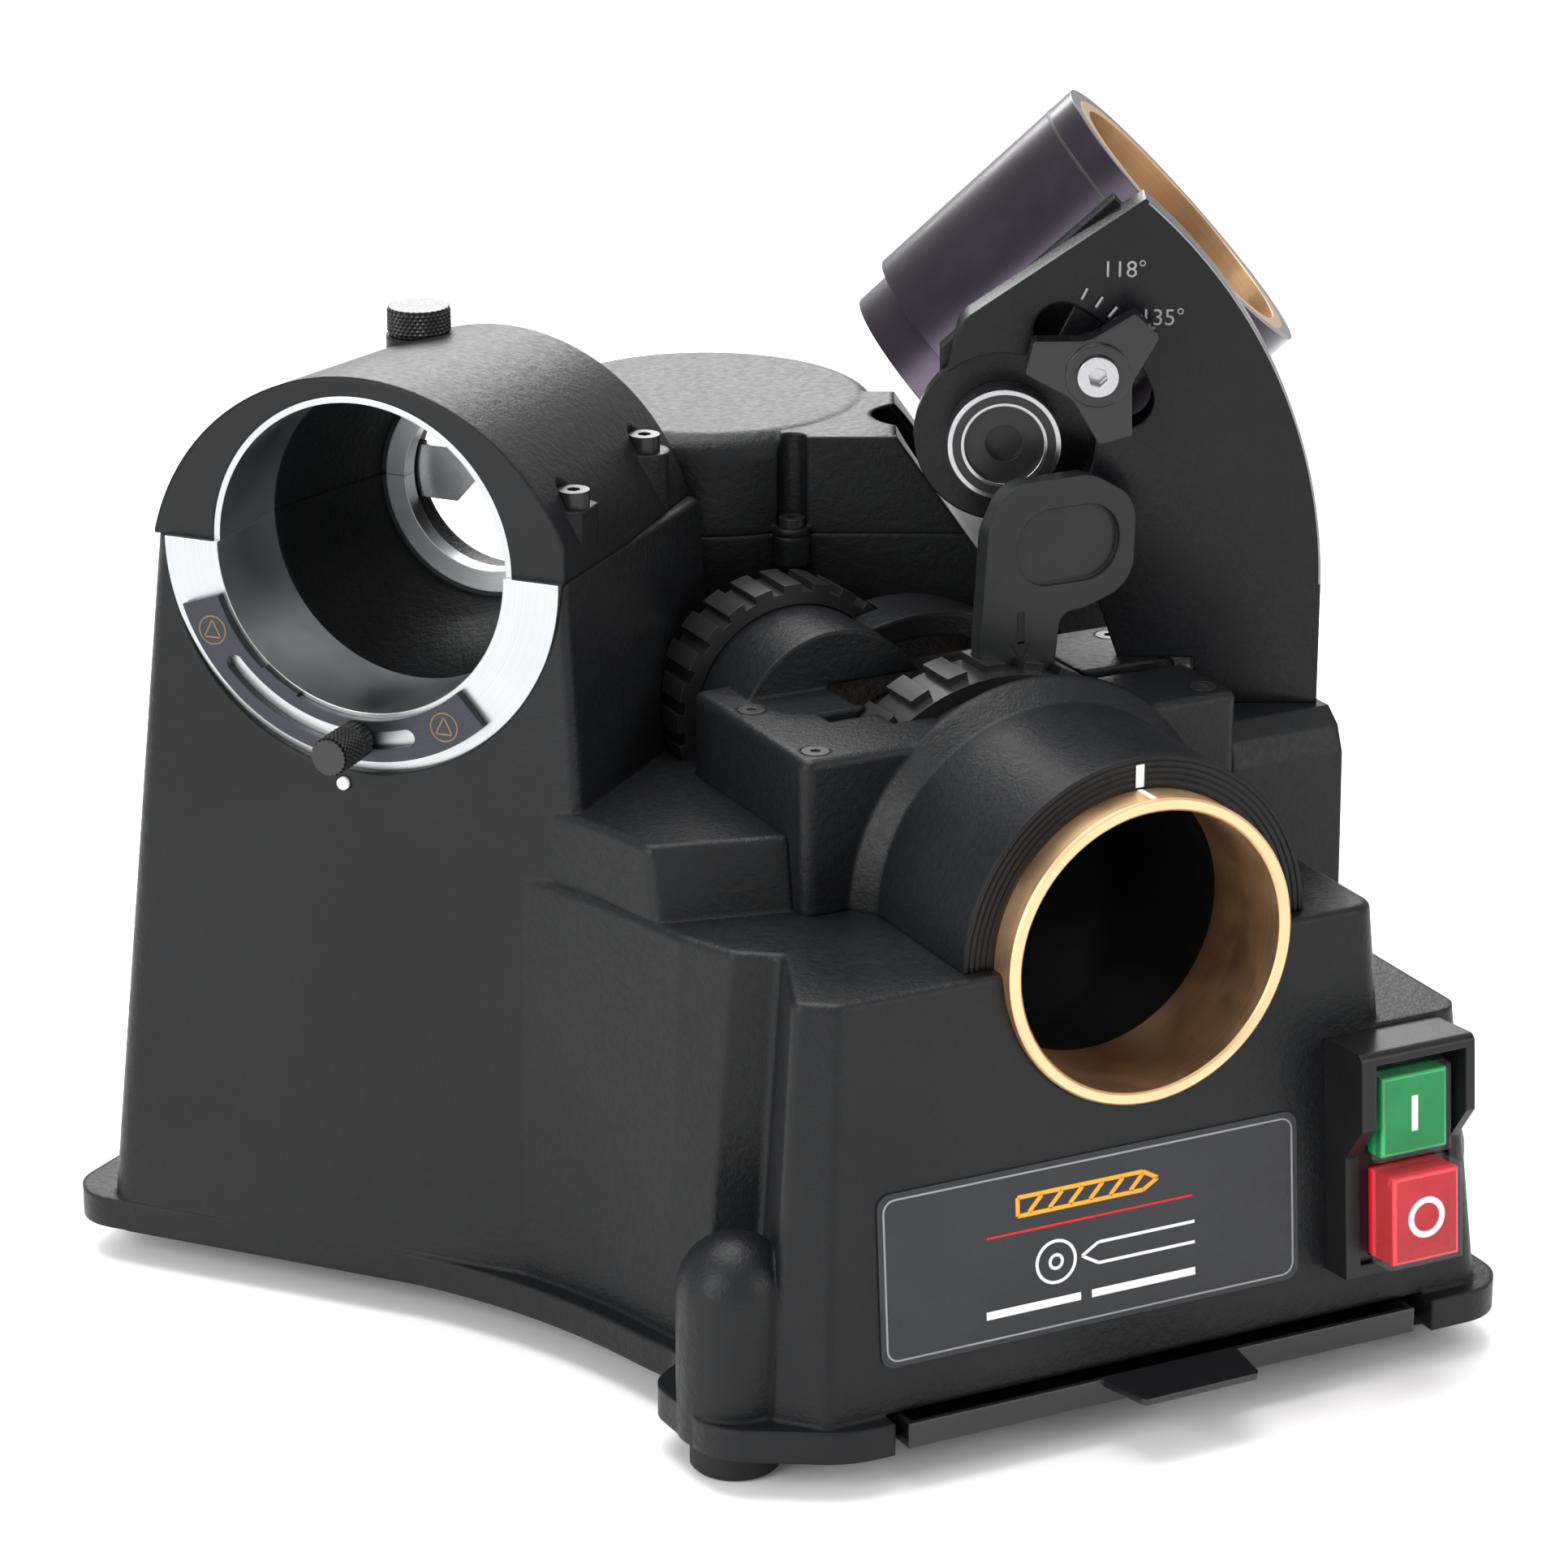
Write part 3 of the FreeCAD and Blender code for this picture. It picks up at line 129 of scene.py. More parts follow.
def leaned_place(origin: Vector, degrees: float) -> Place:
    """A frame against a face that leans back.

    Args:
        origin: where it starts.
        degrees: how far the face leans.

    Returns:
        The frame.
    """
    a = math.radians(degrees)
    return Place(origin, Vector((1, 0, 0)), Vector((0, math.cos(a), -math.sin(a))),
                 Vector((0, math.sin(a), math.cos(a))))


PORT = turned_place(Vector((0.0397, -0.1176, 0.119)), 0.0)
TOWER = turned_place(PORT.at(-0.1358, 0.1496, 0.0742), 49.75)
PLATE = turned_place(PORT.at(0.0864, 0.0675, 0.0282), 27.0)
HEAD = tilted_place(PLATE, PLATE.at(-0.079, 0.0, 0.0675), 43.0)
SPLIT_AXIS = tilted_place(PLATE, HEAD.at(0.0, 0.0585, 0.0), 43.0)
FACE = leaned_place(PORT.at(0.0, 0.0038, 0.0), 4.5)
SPINDLE = turned_place(PORT.at(-0.015, 0.208, 0.0), 27.0)


# ------------------------------------------------------------------ finishes
class Nodes:
    """A node tree under construction."""

    tree: bpy.types.NodeTree

    def feed(self, target: Socket, value: object) -> None:
        """Link a socket or set its value.

        Args:
            target: the input.
            value: what it gets.
        """
        if isinstance(value, Socket):
            self.tree.links.new(value, target)
        else:
            target.default_value = value

    def node(self, kind: str, inputs: dict[str, object] | None = None, **settings: object) -> bpy.types.Node:
        """Add a node and feed it.

        Args:
            kind: the node's type.
            inputs: values or sockets for its inputs, by name.
            settings: attributes set on it.

        Returns:
            The node.
        """
        made = self.tree.nodes.new(kind)
        for key, value in settings.items():
            setattr(made, key, value)
        for key, value in (inputs or {}).items():
            self.feed(made.inputs[key], value)
        return made


class Graph(Nodes):
    """A material under construction, with short names for its nodes."""

    def __init__(self, name: str) -> None:
        """Start an empty material.

        Args:
            name: the material's name.
        """
        self.material = bpy.data.materials.new(name)
        self.material.use_nodes = True
        self.tree = self.material.node_tree
        self.tree.nodes.clear()
        self.shader = self.node("ShaderNodeBsdfPrincipled")
        self.node("ShaderNodeOutputMaterial", {"Surface": self.shader.outputs[0]})
        self.coords = self.node("ShaderNodeTexCoord").outputs["Object"]

    def shade(self, values: dict[str, object]) -> None:
        """Feed the shader.

        Args:
            values: values or sockets for its inputs, by name.
        """
        for key, value in values.items():
            self.feed(self.shader.inputs[key], value)

    def noise(self, scale: float, detail: float = 3.0, roughness: float = 0.5,
              coords: Socket | None = None) -> Socket:
        """Noise over the object.

        Args:
            scale: how fine it is, per metre.
            detail: octaves.
            roughness: weight of the fine octaves.
            coords: where it is read, or the object's own coordinates.

        Returns:
            The grey output.
        """
        made = self.node("ShaderNodeTexNoise", {"Scale": scale, "Detail": detail, "Roughness": roughness,
                                                "Vector": coords or self.coords})
        return made.outputs["Fac"]

    def ramp(self, source: Socket, out_low: float = 0.0, out_high: float = 1.0, low: float = 0.3,
             high: float = 0.7) -> Socket:
        """Map a grey from one range to another; noise lies mostly in the middle.

        Args:
            source: the grey.
            out_low: what the start of the range becomes.
            out_high: what its end becomes.
            low: where the range starts.
            high: where it ends.

        Returns:
            The mapped grey.
        """
        made = self.node("ShaderNodeMapRange", {"From Min": low, "From Max": high, "To Min": out_low,
                                                "To Max": out_high, "Value": source})
        return made.outputs["Result"]

    def blend(self, factor: Socket, first: Colour, second: Colour) -> Socket:
        """Mix two colours.

        Args:
            factor: how much of the second.
            first: one colour.
            second: the other.

        Returns:
            The colour.
        """
        made = self.node("ShaderNodeMix", {"A": (*first, 1.0), "B": (*second, 1.0), "Factor": factor},
                         data_type="RGBA")
        return made.outputs["Result"]

    def bump(self, height: Socket, strength: float, distance: float, onto: Socket | None = None) -> Socket:
        """Turn a height into a normal.

        Args:
            height: the grey.
            strength: how strongly it counts.
            distance: its depth in metres.
            onto: a normal it is laid over.

        Returns:
            The normal.
        """
        made = self.node("ShaderNodeBump", {"Strength": strength, "Distance": distance, "Height": height})
        if onto is not None:
            self.feed(made.inputs["Normal"], onto)
        return made.outputs["Normal"]

    def soft_edges(self, radius: float) -> Socket:
        """A normal that rounds sharp edges.

        Args:
            radius: the rounding in metres.

        Returns:
            The normal.
        """
        return self.node("ShaderNodeBevel", {"Radius": radius}, samples=6).outputs["Normal"]

    def centred(self, place: Place) -> Socket:
        """Object coordinates measured in a local frame.

        Args:
            place: the frame.

        Returns:
            The coordinates.
        """
        inverse = place.matrix().inverted()
        made = self.node("ShaderNodeMapping", {"Location": inverse.to_translation(),
                                               "Rotation": inverse.to_euler("XYZ"), "Vector": self.coords},
                         vector_type="POINT")
        return made.outputs["Vector"]


class Finish:
    """What every finish can do."""

    name: str = "finish"

    def dress(self, graph: Graph) -> None:
        """Fill the graph in. Each finish has its own."""
        raise NotImplementedError

    def material(self) -> bpy.types.Material:
        """The finish as a material, made once.

        Returns:
            The material.
        """
        known = bpy.data.materials.get(self.name)
        if known is None:
            graph = Graph(self.name)
            self.dress(graph)
            known = graph.material
        return known


@dataclass(frozen=True)
class PowderCoat(Finish):
    """Black fine-textured coating on the castings."""

    name: str = "powder_coat"
    colour: Colour = (0.0052, 0.0056, 0.0064)
    worn: Colour = (0.0085, 0.009, 0.0098)
    grain: float = 1500.0
    depth: float = 0.00022
    rough: Point = (0.36, 0.46)
    rounding: float = 0.0016

    def dress(self, graph: Graph) -> None:
        """Fine orange-peel grain, slow shade changes and rounded edges.

        Args:
            graph: the material to fill in.
        """
        slow = graph.noise(14.0, 4.0, 0.6)
        fine = graph.noise(self.grain, 3.0, 0.55)
        speck = graph.noise(self.grain * 0.35, 2.0, 0.5)
        coarse = graph.bump(speck, 0.35, self.depth * 2.0, graph.soft_edges(self.rounding))
        graph.shade({"Base Color": graph.blend(graph.ramp(slow, low=0.35), self.colour, self.worn),
                     "Roughness": graph.ramp(speck, *self.rough), "Specular IOR Level": 0.2,
                     "Normal": graph.bump(fine, 0.5, self.depth, coarse)})


@dataclass(frozen=True)
class Turned(Finish):
    """Metal or anodised metal with fine turning lines round one axis."""

    name: str = "turned"
    place: Place = PORT
    colour: Colour = (0.8, 0.8, 0.8)
    second: Colour = (0.6, 0.6, 0.6)
    metallic: float = 1.0
    rough: float = 0.3
    pitch: float = 900.0
    depth: float = 0.00002
    lines_on_x: bool = False
    rounding: float = 0.0004
    specular: float = 0.5

    def dress(self, graph: Graph) -> None:
        """Rings along the axis and on its ends, with a little smear.

        Args:
            graph: the material to fill in.
        """
        split = graph.node("ShaderNodeSeparateXYZ", {"Vector": graph.centred(self.place)}).outputs
        along, across = ("X", "Y") if self.lines_on_x else ("Y", "X")
        flat = graph.node("ShaderNodeCombineXYZ", {"Z": split["Z"], "X": split[across]})
        radius = graph.node("ShaderNodeVectorMath", operation="LENGTH")
        graph.feed(radius.inputs[0], flat.outputs[0])
        total = graph.node("ShaderNodeMath", operation="ADD")
        graph.feed(total.inputs[0], split[along])
        graph.feed(total.inputs[1], radius.outputs["Value"])
        line = graph.node("ShaderNodeCombineXYZ", {"X": total.outputs[0]})
        rings = graph.noise(self.pitch * 4.0, 2.0, 0.6, line.outputs[0])
        smear = graph.noise(60.0, 3.0, 0.6)
        graph.shade({"Base Color": graph.blend(graph.ramp(rings), self.colour, self.second),
                     "Metallic": self.metallic, "Specular IOR Level": self.specular,
                     "Roughness": graph.ramp(smear, self.rough - 0.05, self.rough + 0.08),
                     "Normal": graph.bump(rings, 0.35, self.depth, graph.soft_edges(self.rounding))})


@dataclass(frozen=True)
class Moulded(Finish):
    """Moulded plastic or rubber with a faint spark-eroded grain."""

    name: str = "moulded"
    colour: Colour = (0.02, 0.02, 0.021)
    second: Colour = (0.03, 0.03, 0.031)
    rough: float = 0.45
    grain: float = 2600.0
    depth: float = 0.00005
    coat: float = 0.0
    rounding: float = 0.0006
    specular: float = 0.25

    def dress(self, graph: Graph) -> None:
        """Grain, a slow shade and rounded edges.

        Args:
            graph: the material to fill in.
        """
        fine = graph.noise(self.grain, 3.0, 0.6)
        slow = graph.noise(35.0, 4.0, 0.6)
        graph.shade({"Base Color": graph.blend(graph.ramp(slow), self.colour, self.second),
                     "Coat Weight": self.coat, "Specular IOR Level": self.specular,
                     "Roughness": graph.ramp(fine, self.rough - 0.05, self.rough + 0.07),
                     "Normal": graph.bump(fine, 0.4, self.depth, graph.soft_edges(self.rounding))})


@dataclass(frozen=True)
class Clear(Finish):
    """Soft clear cover, faintly clouded."""

    name: str = "clear_cover"
    tint: Colour = (0.30, 0.32, 0.32)
    rough: float = 0.06

    def dress(self, graph: Graph) -> None:
        """See-through with a slight haze.

        Args:
            graph: the material to fill in.
        """
        haze = graph.noise(220.0, 3.0, 0.6)
        graph.shade({"Base Color": (*self.tint, 1.0), "Alpha": 0.08, "IOR": 1.4,
                     "Roughness": graph.ramp(haze, self.rough, self.rough + 0.1),
                     "Normal": graph.bump(haze, 0.25, 0.0002)})


@dataclass(frozen=True)
class Abrasive(Finish):
    """Coarse grit bonded to a wheel."""

    name: str = "abrasive"
    colour: Colour = (0.34, 0.32, 0.28)
    second: Colour = (0.16, 0.15, 0.14)

    def dress(self, graph: Graph) -> None:
        """Cells of grit with dark bond between them.

        Args:
            graph: the material to fill in.
        """
        cells = graph.node("ShaderNodeTexVoronoi", {"Scale": 1800.0, "Vector": graph.coords})
        grit = cells.outputs["Distance"]
        graph.shade({"Base Color": graph.blend(graph.ramp(grit, low=0.0), self.colour, self.second),
                     "Roughness": 0.85, "Normal": graph.bump(grit, 0.9, 0.0004)})


class Coat(Enum):
    """The finishes this machine is made in."""

    HOUSING = PowderCoat()
    BARREL = Turned("anodised_port", PORT, (0.006, 0.006, 0.007), (0.010, 0.010, 0.011), metallic=0.2,
                    rough=0.42, specular=0.25)
    QUADRANT = Moulded("satin_plate", (0.004, 0.0042, 0.005), (0.006, 0.0063, 0.007), rough=0.27,
                       grain=900.0, depth=0.00001, rounding=0.0009, specular=0.22)
    SPLIT_TUBE = Turned("anodised_head", SPLIT_AXIS, (0.030, 0.024, 0.033), (0.038, 0.031, 0.042),
                        metallic=0.85, rough=0.24, lines_on_x=True, depth=0.000006, specular=0.3)
    BRACKET = Moulded("satin_bracket", (0.005, 0.005, 0.0055), (0.008, 0.008, 0.0085), rough=0.26,
                      grain=1400.0, depth=0.00001)
    SILVER = Turned("satin_aluminium", TOWER, (0.47, 0.48, 0.49), (0.37, 0.38, 0.39), rough=0.33,
                    depth=0.000012)
    RIM = Turned("turned_steel", HEAD, (0.50, 0.50, 0.51), (0.36, 0.36, 0.38), rough=0.22)
    STEEL = Turned("plain_steel", SPINDLE, (0.5, 0.5, 0.51), (0.4, 0.4, 0.42), rough=0.28)
    PORT_BRONZE = Turned("turned_bronze", PORT, (0.86, 0.58, 0.34), (0.68, 0.42, 0.23), rough=0.42,
                         pitch=420.0, depth=0.00003, rounding=0.0005)
    HEAD_BRONZE = Turned("turned_bronze_head", SPLIT_AXIS, (0.66, 0.45, 0.26), (0.52, 0.33, 0.18),
                         rough=0.36, pitch=420.0, depth=0.00003, lines_on_x=True)
    BLUED = Turned("blued_steel", TOWER, (0.022, 0.026, 0.034), (0.045, 0.047, 0.055), metallic=0.8,
                   rough=0.3, depth=0.000008)
    KNURL = Moulded("black_oxide", (0.008, 0.008, 0.0085), (0.016, 0.016, 0.0165), rough=0.33, grain=1800.0,
                    depth=0.00002, rounding=0.0002, specular=0.4)
    PLASTIC = Moulded("lever_plastic", (0.010, 0.0105, 0.011), (0.015, 0.0155, 0.016), rough=0.38)
    SWITCH = Moulded("switch_plastic", (0.0055, 0.0055, 0.006), (0.009, 0.009, 0.0095), rough=0.34)
    GLOSS = Moulded("gloss_black", (0.004, 0.004, 0.005), (0.006, 0.006, 0.007), rough=0.12, depth=0.00001,
                    coat=0.35, rounding=0.0008, specular=0.3)
    RUBBER = Moulded("foot_rubber", (0.007, 0.007, 0.007), (0.013, 0.013, 0.013), rough=0.7, grain=1500.0,
                     depth=0.0001)
    GREEN = Moulded("green_button", (0.0, 0.42, 0.10), (0.0, 0.48, 0.13), rough=0.3)
    RED = Moulded("red_button", (0.78, 0.012, 0.025), (0.84, 0.02, 0.035), rough=0.3)
    LABEL = Moulded("label_grey", (0.012, 0.013, 0.016), (0.017, 0.018, 0.021), rough=0.3, grain=700.0,
                    depth=0.00002, rounding=0.0002, specular=0.3)
    WHITE = Moulded("white_paint", (0.82, 0.82, 0.82), (0.7, 0.7, 0.7), rough=0.5)
    # Grey for printed lines and figures; also the painted highlight along the quadrant plate's edge.
    GREY_INK_AND_HIGHLIGHT = Moulded("grey_ink_and_highlight", (0.30, 0.30, 0.31), (0.22, 0.22, 0.23), rough=0.5)
    RED_INK = Moulded("red_ink", (0.62, 0.02, 0.03), (0.5, 0.02, 0.03), rough=0.45)
    AMBER_INK = Moulded("amber_ink", (0.9, 0.36, 0.03), (0.8, 0.28, 0.03), rough=0.45)
    BROWN_INK = Moulded("brown_ink", (0.16, 0.10, 0.06), (0.22, 0.14, 0.08), rough=0.4)
    CLEAR = Clear()
    GRIT = Abrasive()

    def material(self) -> bpy.types.Material:
        """The material of this finish."""
        return self.value.material()


# ------------------------------------------------------------------ pieces
def dress_node(node: str, coat: Coat) -> None:
    """Give a carried-over part its finish.

    Args:
        node: the part's name.
        coat: its finish.
    """
    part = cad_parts[node]
    part.data.materials.clear()
    part.data.materials.append(coat.material())
    log.info("dressed %s in %s", node, coat.name.lower())


def settle(piece: Piece, body: str, stands_for: Sequence[str] = ()) -> Piece:
    """Hand a finished piece over to its body.

    Args:
        piece: the piece, with its place in its mesh.
        body: the body it rides on.
        stands_for: parts it replaces.

    Returns:
        The same piece.
    """
    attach(piece, body)
    if stands_for:
        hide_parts(*stands_for)
    log.info("made %s, %d faces, on %s", piece.name, len(piece.data.polygons), body)
    return piece


def new_object(name: str, mesh: bpy.types.Mesh, material: bpy.types.Material | None) -> Piece:
    """Put a mesh in the scene.

    Args:
        name: the object's name.
        mesh: its mesh.
        material: its finish, if it isn't in the mesh already.

    Returns:
        The object.
    """
    made = bpy.data.objects.new(name, mesh)
    bpy.context.scene.collection.objects.link(made)
    if material is not None:
        mesh.materials.clear()
        mesh.materials.append(material)
    return made


def from_bmesh(name: str, shape: Shape, place: Place, coat: Coat) -> Piece:
    """Turn a shape drawn in a local frame into an object.

    Args:
        name: the object's name.
        shape: the shape, which is freed.
        place: the frame it was drawn in.
        coat: its finish.

    Returns:
        The object.
    """
    shape.transform(place.matrix())
    mesh = bpy.data.meshes.new(name)
    shape.to_mesh(mesh)
    shape.free()
    return new_object(name, mesh, coat.material())


def plate_bmesh(corners: Iterable[Point], front: float, back: float) -> Shape:
    """A flat plate in the x-z plane.

    Args:
        corners: its outline, anticlockwise seen from the front.
        front: y of its front face.
        back: y of its back face.

    Returns:
        The shape.
    """
    shape = bmesh.new()
    near = [shape.verts.new((x, front, z)) for x, z in corners]
    far = [shape.verts.new((v.co.x, back, v.co.z)) for v in near]
    shape.faces.new(near)
    shape.faces.new(list(reversed(far)))
    for i, v in enumerate(near):
        j = (i + 1) % len(near)
        shape.faces.new((v, far[i], far[j], near[j]))
    bmesh.ops.recalc_face_normals(shape, faces=shape.faces)
    return shape


def add_plate(shape: Shape, corners: Iterable[Point], front: float, back: float) -> None:
    """Add another flat plate to a shape.

    Args:
        shape: the shape it is added to.
        corners: its outline.
        front: y of its front face.
        back: y of its back face.
    """
    extra = plate_bmesh(corners, front, back)
    mesh = bpy.data.meshes.new("extra")
    extra.to_mesh(mesh)
    extra.free()
    shape.from_mesh(mesh)
    bpy.data.meshes.remove(mesh)


def ring_points(radius: float, start: float, end: float, count: int, cx: float = 0.0,
                cz: float = 0.0) -> list[Point]:
    """Points along an arc.

    Args:
        radius: the arc's radius.
        start: where it starts, in degrees.
        end: where it ends, in degrees.
        count: how many points.
        cx: x of its centre.
        cz: z of its centre.

    Returns:
        The points.
    """
    step = (end - start) / (count - 1)
    return [(cx + radius * math.cos(math.radians(start + step * i)),
             cz + radius * math.sin(math.radians(start + step * i))) for i in range(count)]


def stroke(path: Sequence[Point], width: float) -> list[Point]:
    """The outline of a line of some width.

    Args:
        path: the line's points.
        width: its width.

    Returns:
        The outline, down one side and back up the other.
    """
    left, right = [], []
    for i, (x, z) in enumerate(path):
        ax, az = path[max(i - 1, 0)]
        bx, bz = path[min(i + 1, len(path) - 1)]
        length = math.hypot(bx - ax, bz - az)
        nx, nz = -(bz - az) / length * width / 2, (bx - ax) / length * width / 2
        left.append((x + nx, z + nz))
        right.append((x - nx, z - nz))
    return left + right[::-1]


def lathe(profile: Sequence[Point], steps: int) -> Shape:
    """A closed solid turned about y.

    Args:
        profile: (radius, y) from the front's centre to the back's centre.
        steps: how many sides it has.

    Returns:
        The shape.
    """
    shape = bmesh.new()
    rows = []
    for radius, y in profile:
        rows.append([shape.verts.new((radius * math.cos(math.tau * i / steps), y,
                                      radius * math.sin(math.tau * i / steps))) for i in range(steps)])
    for near, far in zip(rows, rows[1:]):
        for i in range(steps):
            j = (i + 1) % steps
            shape.faces.new((near[i], near[j], far[j], far[i]))
    bmesh.ops.remove_doubles(shape, verts=shape.verts, dist=1e-7)
    bmesh.ops.holes_fill(shape, edges=[e for e in shape.edges if e.is_boundary], sides=0)
    bmesh.ops.recalc_face_normals(shape, faces=shape.faces)
    return shape


def lettering(name: str, words: str, size: float, spot: Vector, place: Place, coat: Coat,
              depth: float = 0.00015) -> Piece:
    """Dial numbers lying on a face, as a mesh.

    Args:
        name: the object's name.
        words: the characters.
        size: their height.
        spot: the lower left corner.
        place: the frame whose x and z they lie in.
        coat: their finish.
        depth: how thick they are.

    Returns:
        The object.
    """
    curve = bpy.data.curves.new(name, "FONT")
    curve.body = words
    curve.size = size
    curve.extrude = depth / 2
    holder = bpy.data.objects.new(name, curve)
    bpy.context.scene.collection.objects.link(holder)
    bpy.context.view_layer.update()
    mesh = bpy.data.meshes.new_from_object(holder.evaluated_get(bpy.context.evaluated_depsgraph_get()))
    bpy.data.objects.remove(holder)
    bpy.data.curves.remove(curve)
    mesh.transform(place.matrix() @ Matrix.Translation(spot) @ Matrix.Rotation(math.radians(90), 4, "X"))
    return new_object(name, mesh, coat.material())


# ------------------------------------------------------------------ geometry node trees
class Grower(Nodes):
    """A geometry node tree with named inputs and a finish."""

    kinds = {float: "NodeSocketFloat", int: "NodeSocketInt", tuple: "NodeSocketVector"}

    def __init__(self, name: str, inputs: dict[str, object]) -> None:
        """Start a tree.

        Args:
            name: the tree's name.
            inputs: what its named inputs start as.
        """
        self.tree = bpy.data.node_groups.new(name, "GeometryNodeTree")
        new_socket = self.tree.interface.new_socket
        new_socket("Geometry", in_out="INPUT", socket_type="NodeSocketGeometry")
        new_socket("Geometry", in_out="OUTPUT", socket_type="NodeSocketGeometry")
        for key, value in inputs.items():
            new_socket(key, in_out="INPUT", socket_type=self.kinds[type(value)]).default_value = value
        new_socket("Finish", in_out="INPUT", socket_type="NodeSocketMaterial")
        self.put = self.tree.nodes.new("NodeGroupInput").outputs
        self.outlet = self.tree.nodes.new("NodeGroupOutput")

    def math(self, operation: str, first: object, second: object = 0.0) -> Socket:
        """One sum.

        Args:
            operation: what is done.
            first: one value or socket.
            second: the other.

        Returns:
            The result.
        """
        made = self.node("ShaderNodeMath", operation=operation)
        self.feed(made.inputs[0], first)
        self.feed(made.inputs[1], second)
        return made.outputs[0]

    def vector(self, x: object, y: object, z: object) -> Socket:
        """Three numbers as a vector."""
        return self.node("ShaderNodeCombineXYZ", {"X": x, "Y": y, "Z": z}).outputs[0]

    def wheel(self, angle: Socket, y: object) -> Socket:
        """A point of a circle about y.

        Args:
            angle: where on the circle it is.
            y: how far along y.

        Returns:
            The point.
        """
        radius = self.put["Radius"]
        x = self.math("MULTIPLY", radius, self.math("COSINE", angle))
        return self.vector(x, y, self.math("MULTIPLY", radius, self.math("SINE", angle)))

    def join(self, *parts: bpy.types.Node) -> Socket:
        """Put parts together.

        Args:
            parts: the nodes that make them.

        Returns:
            The whole.
        """
        made = self.node("GeometryNodeJoinGeometry")
        for part in parts:
            self.feed(made.inputs[0], part.outputs[0])
        return made.outputs[0]

    def finish(self, inputs: dict[str, object]) -> bpy.types.NodeTree:
        """Copy a piece onto points, realize the copies and give them their finish.

        Args:
            inputs: the points, the piece and how it is turned, by name.

        Returns:
            The tree.
        """
        copies = self.node("GeometryNodeInstanceOnPoints", inputs)
        real = self.node("GeometryNodeRealizeInstances", {"Geometry": copies.outputs[0]})
        dressed = self.node("GeometryNodeSetMaterial", {"Geometry": real.outputs[0],
                                                        "Material": self.put["Finish"]})
        self.feed(self.outlet.inputs[0], dressed.outputs[0])
        return self.tree


@cache
def block_tree() -> bpy.types.NodeTree:
    """Blocks spaced evenly along an arc in the x-z plane.

    Returns:
        The tree, made once.
    """
    g = Grower("blocks_on_arc", {"Radius": 0.03, "Start": 0.0, "Step": 0.2, "Count": 12,
                                 "Block": (0.002, 0.002, 0.002)})
    line = g.node("GeometryNodeMeshLine", {"Count": g.put["Count"]})
    index = g.node("GeometryNodeInputIndex").outputs[0]
    angle = g.math("ADD", g.put["Start"], g.math("MULTIPLY", index, g.put["Step"]))
    points = g.node("GeometryNodeSetPosition", {"Geometry": line.outputs[0], "Position": g.wheel(angle, 0.0)})
    block = g.node("GeometryNodeMeshCube", {"Size": g.put["Block"]})
    turn = g.vector(0.0, g.math("MULTIPLY", angle, -1.0), 0.0)
    return g.finish({"Points": points.outputs[0], "Instance": block.outputs[0], "Rotation": turn})


@cache
def knurl_tree() -> bpy.types.NodeTree:
    """Diamond points standing on a cylinder about y.

    Returns:
        The tree, made once.
    """
    g = Grower("diamond_knurl", {"Radius": 0.005, "Length": 0.01, "Height": 0.0004, "Around": 24, "Along": 8})
    around, along = g.put["Around"], g.put["Along"]
    line = g.node("GeometryNodeMeshLine", {"Count": g.math("MULTIPLY", around, along)})
    index = g.node("GeometryNodeInputIndex").outputs[0]
    row = g.math("FLOOR", g.math("DIVIDE", index, around))
    pitch = g.math("DIVIDE", math.tau, around)
    shift = g.math("MULTIPLY", g.math("MODULO", row, 2.0), 0.5)
    angle = g.math("MULTIPLY", pitch, g.math("ADD", index, shift))
    y = g.math("MULTIPLY", g.math("DIVIDE", g.put["Length"], along), g.math("ADD", row, 0.5))
    points = g.node("GeometryNodeSetPosition", {"Geometry": line.outputs[0], "Position": g.wheel(angle, y)})
    foot = g.math("MULTIPLY", g.put["Radius"], g.math("MULTIPLY", pitch, 0.62))
    point = g.node("GeometryNodeMeshCone", {"Vertices": 4, "Radius Bottom": foot, "Radius Top": 0.0,
                                            "Depth": g.put["Height"]})
    turn = g.vector(0.0, g.math("SUBTRACT", math.pi / 2, angle), 0.0)
    return g.finish({"Points": points.outputs[0], "Instance": point.outputs[0], "Rotation": turn})


@cache
def screw_tree() -> bpy.types.NodeTree:
    """Socket screw heads on the points of the mesh, standing along z.

    Returns:
        The tree, made once.
    """
    g = Grower("socket_screws", {"Radius": 0.004, "Height": 0.003, "Socket": 0.0015})
    height, socket = g.put["Height"], g.put["Socket"]
    edge = g.node("GeometryNodeCurvePrimitiveCircle", {"Resolution": 32, "Radius": g.put["Radius"]})
    six = g.node("GeometryNodeCurvePrimitiveCircle", {"Resolution": 6, "Radius": socket})
    face = g.node("GeometryNodeFillCurve", {"Curve": g.join(edge, six)})
    head = g.node("GeometryNodeExtrudeMesh", {"Mesh": face.outputs[0], "Offset Scale": height,
                                              "Individual": False})
    disc = g.node("GeometryNodeMeshCircle", {"Vertices": 6, "Radius": socket}, fill_type="NGON")
    drop = g.vector(0.0, 0.0, g.math("MULTIPLY", height, 0.4))
    low = g.node("GeometryNodeTransform", {"Geometry": disc.outputs[0], "Translation": drop})
    return g.finish({"Points": g.put["Geometry"], "Instance": g.join(head, low)})


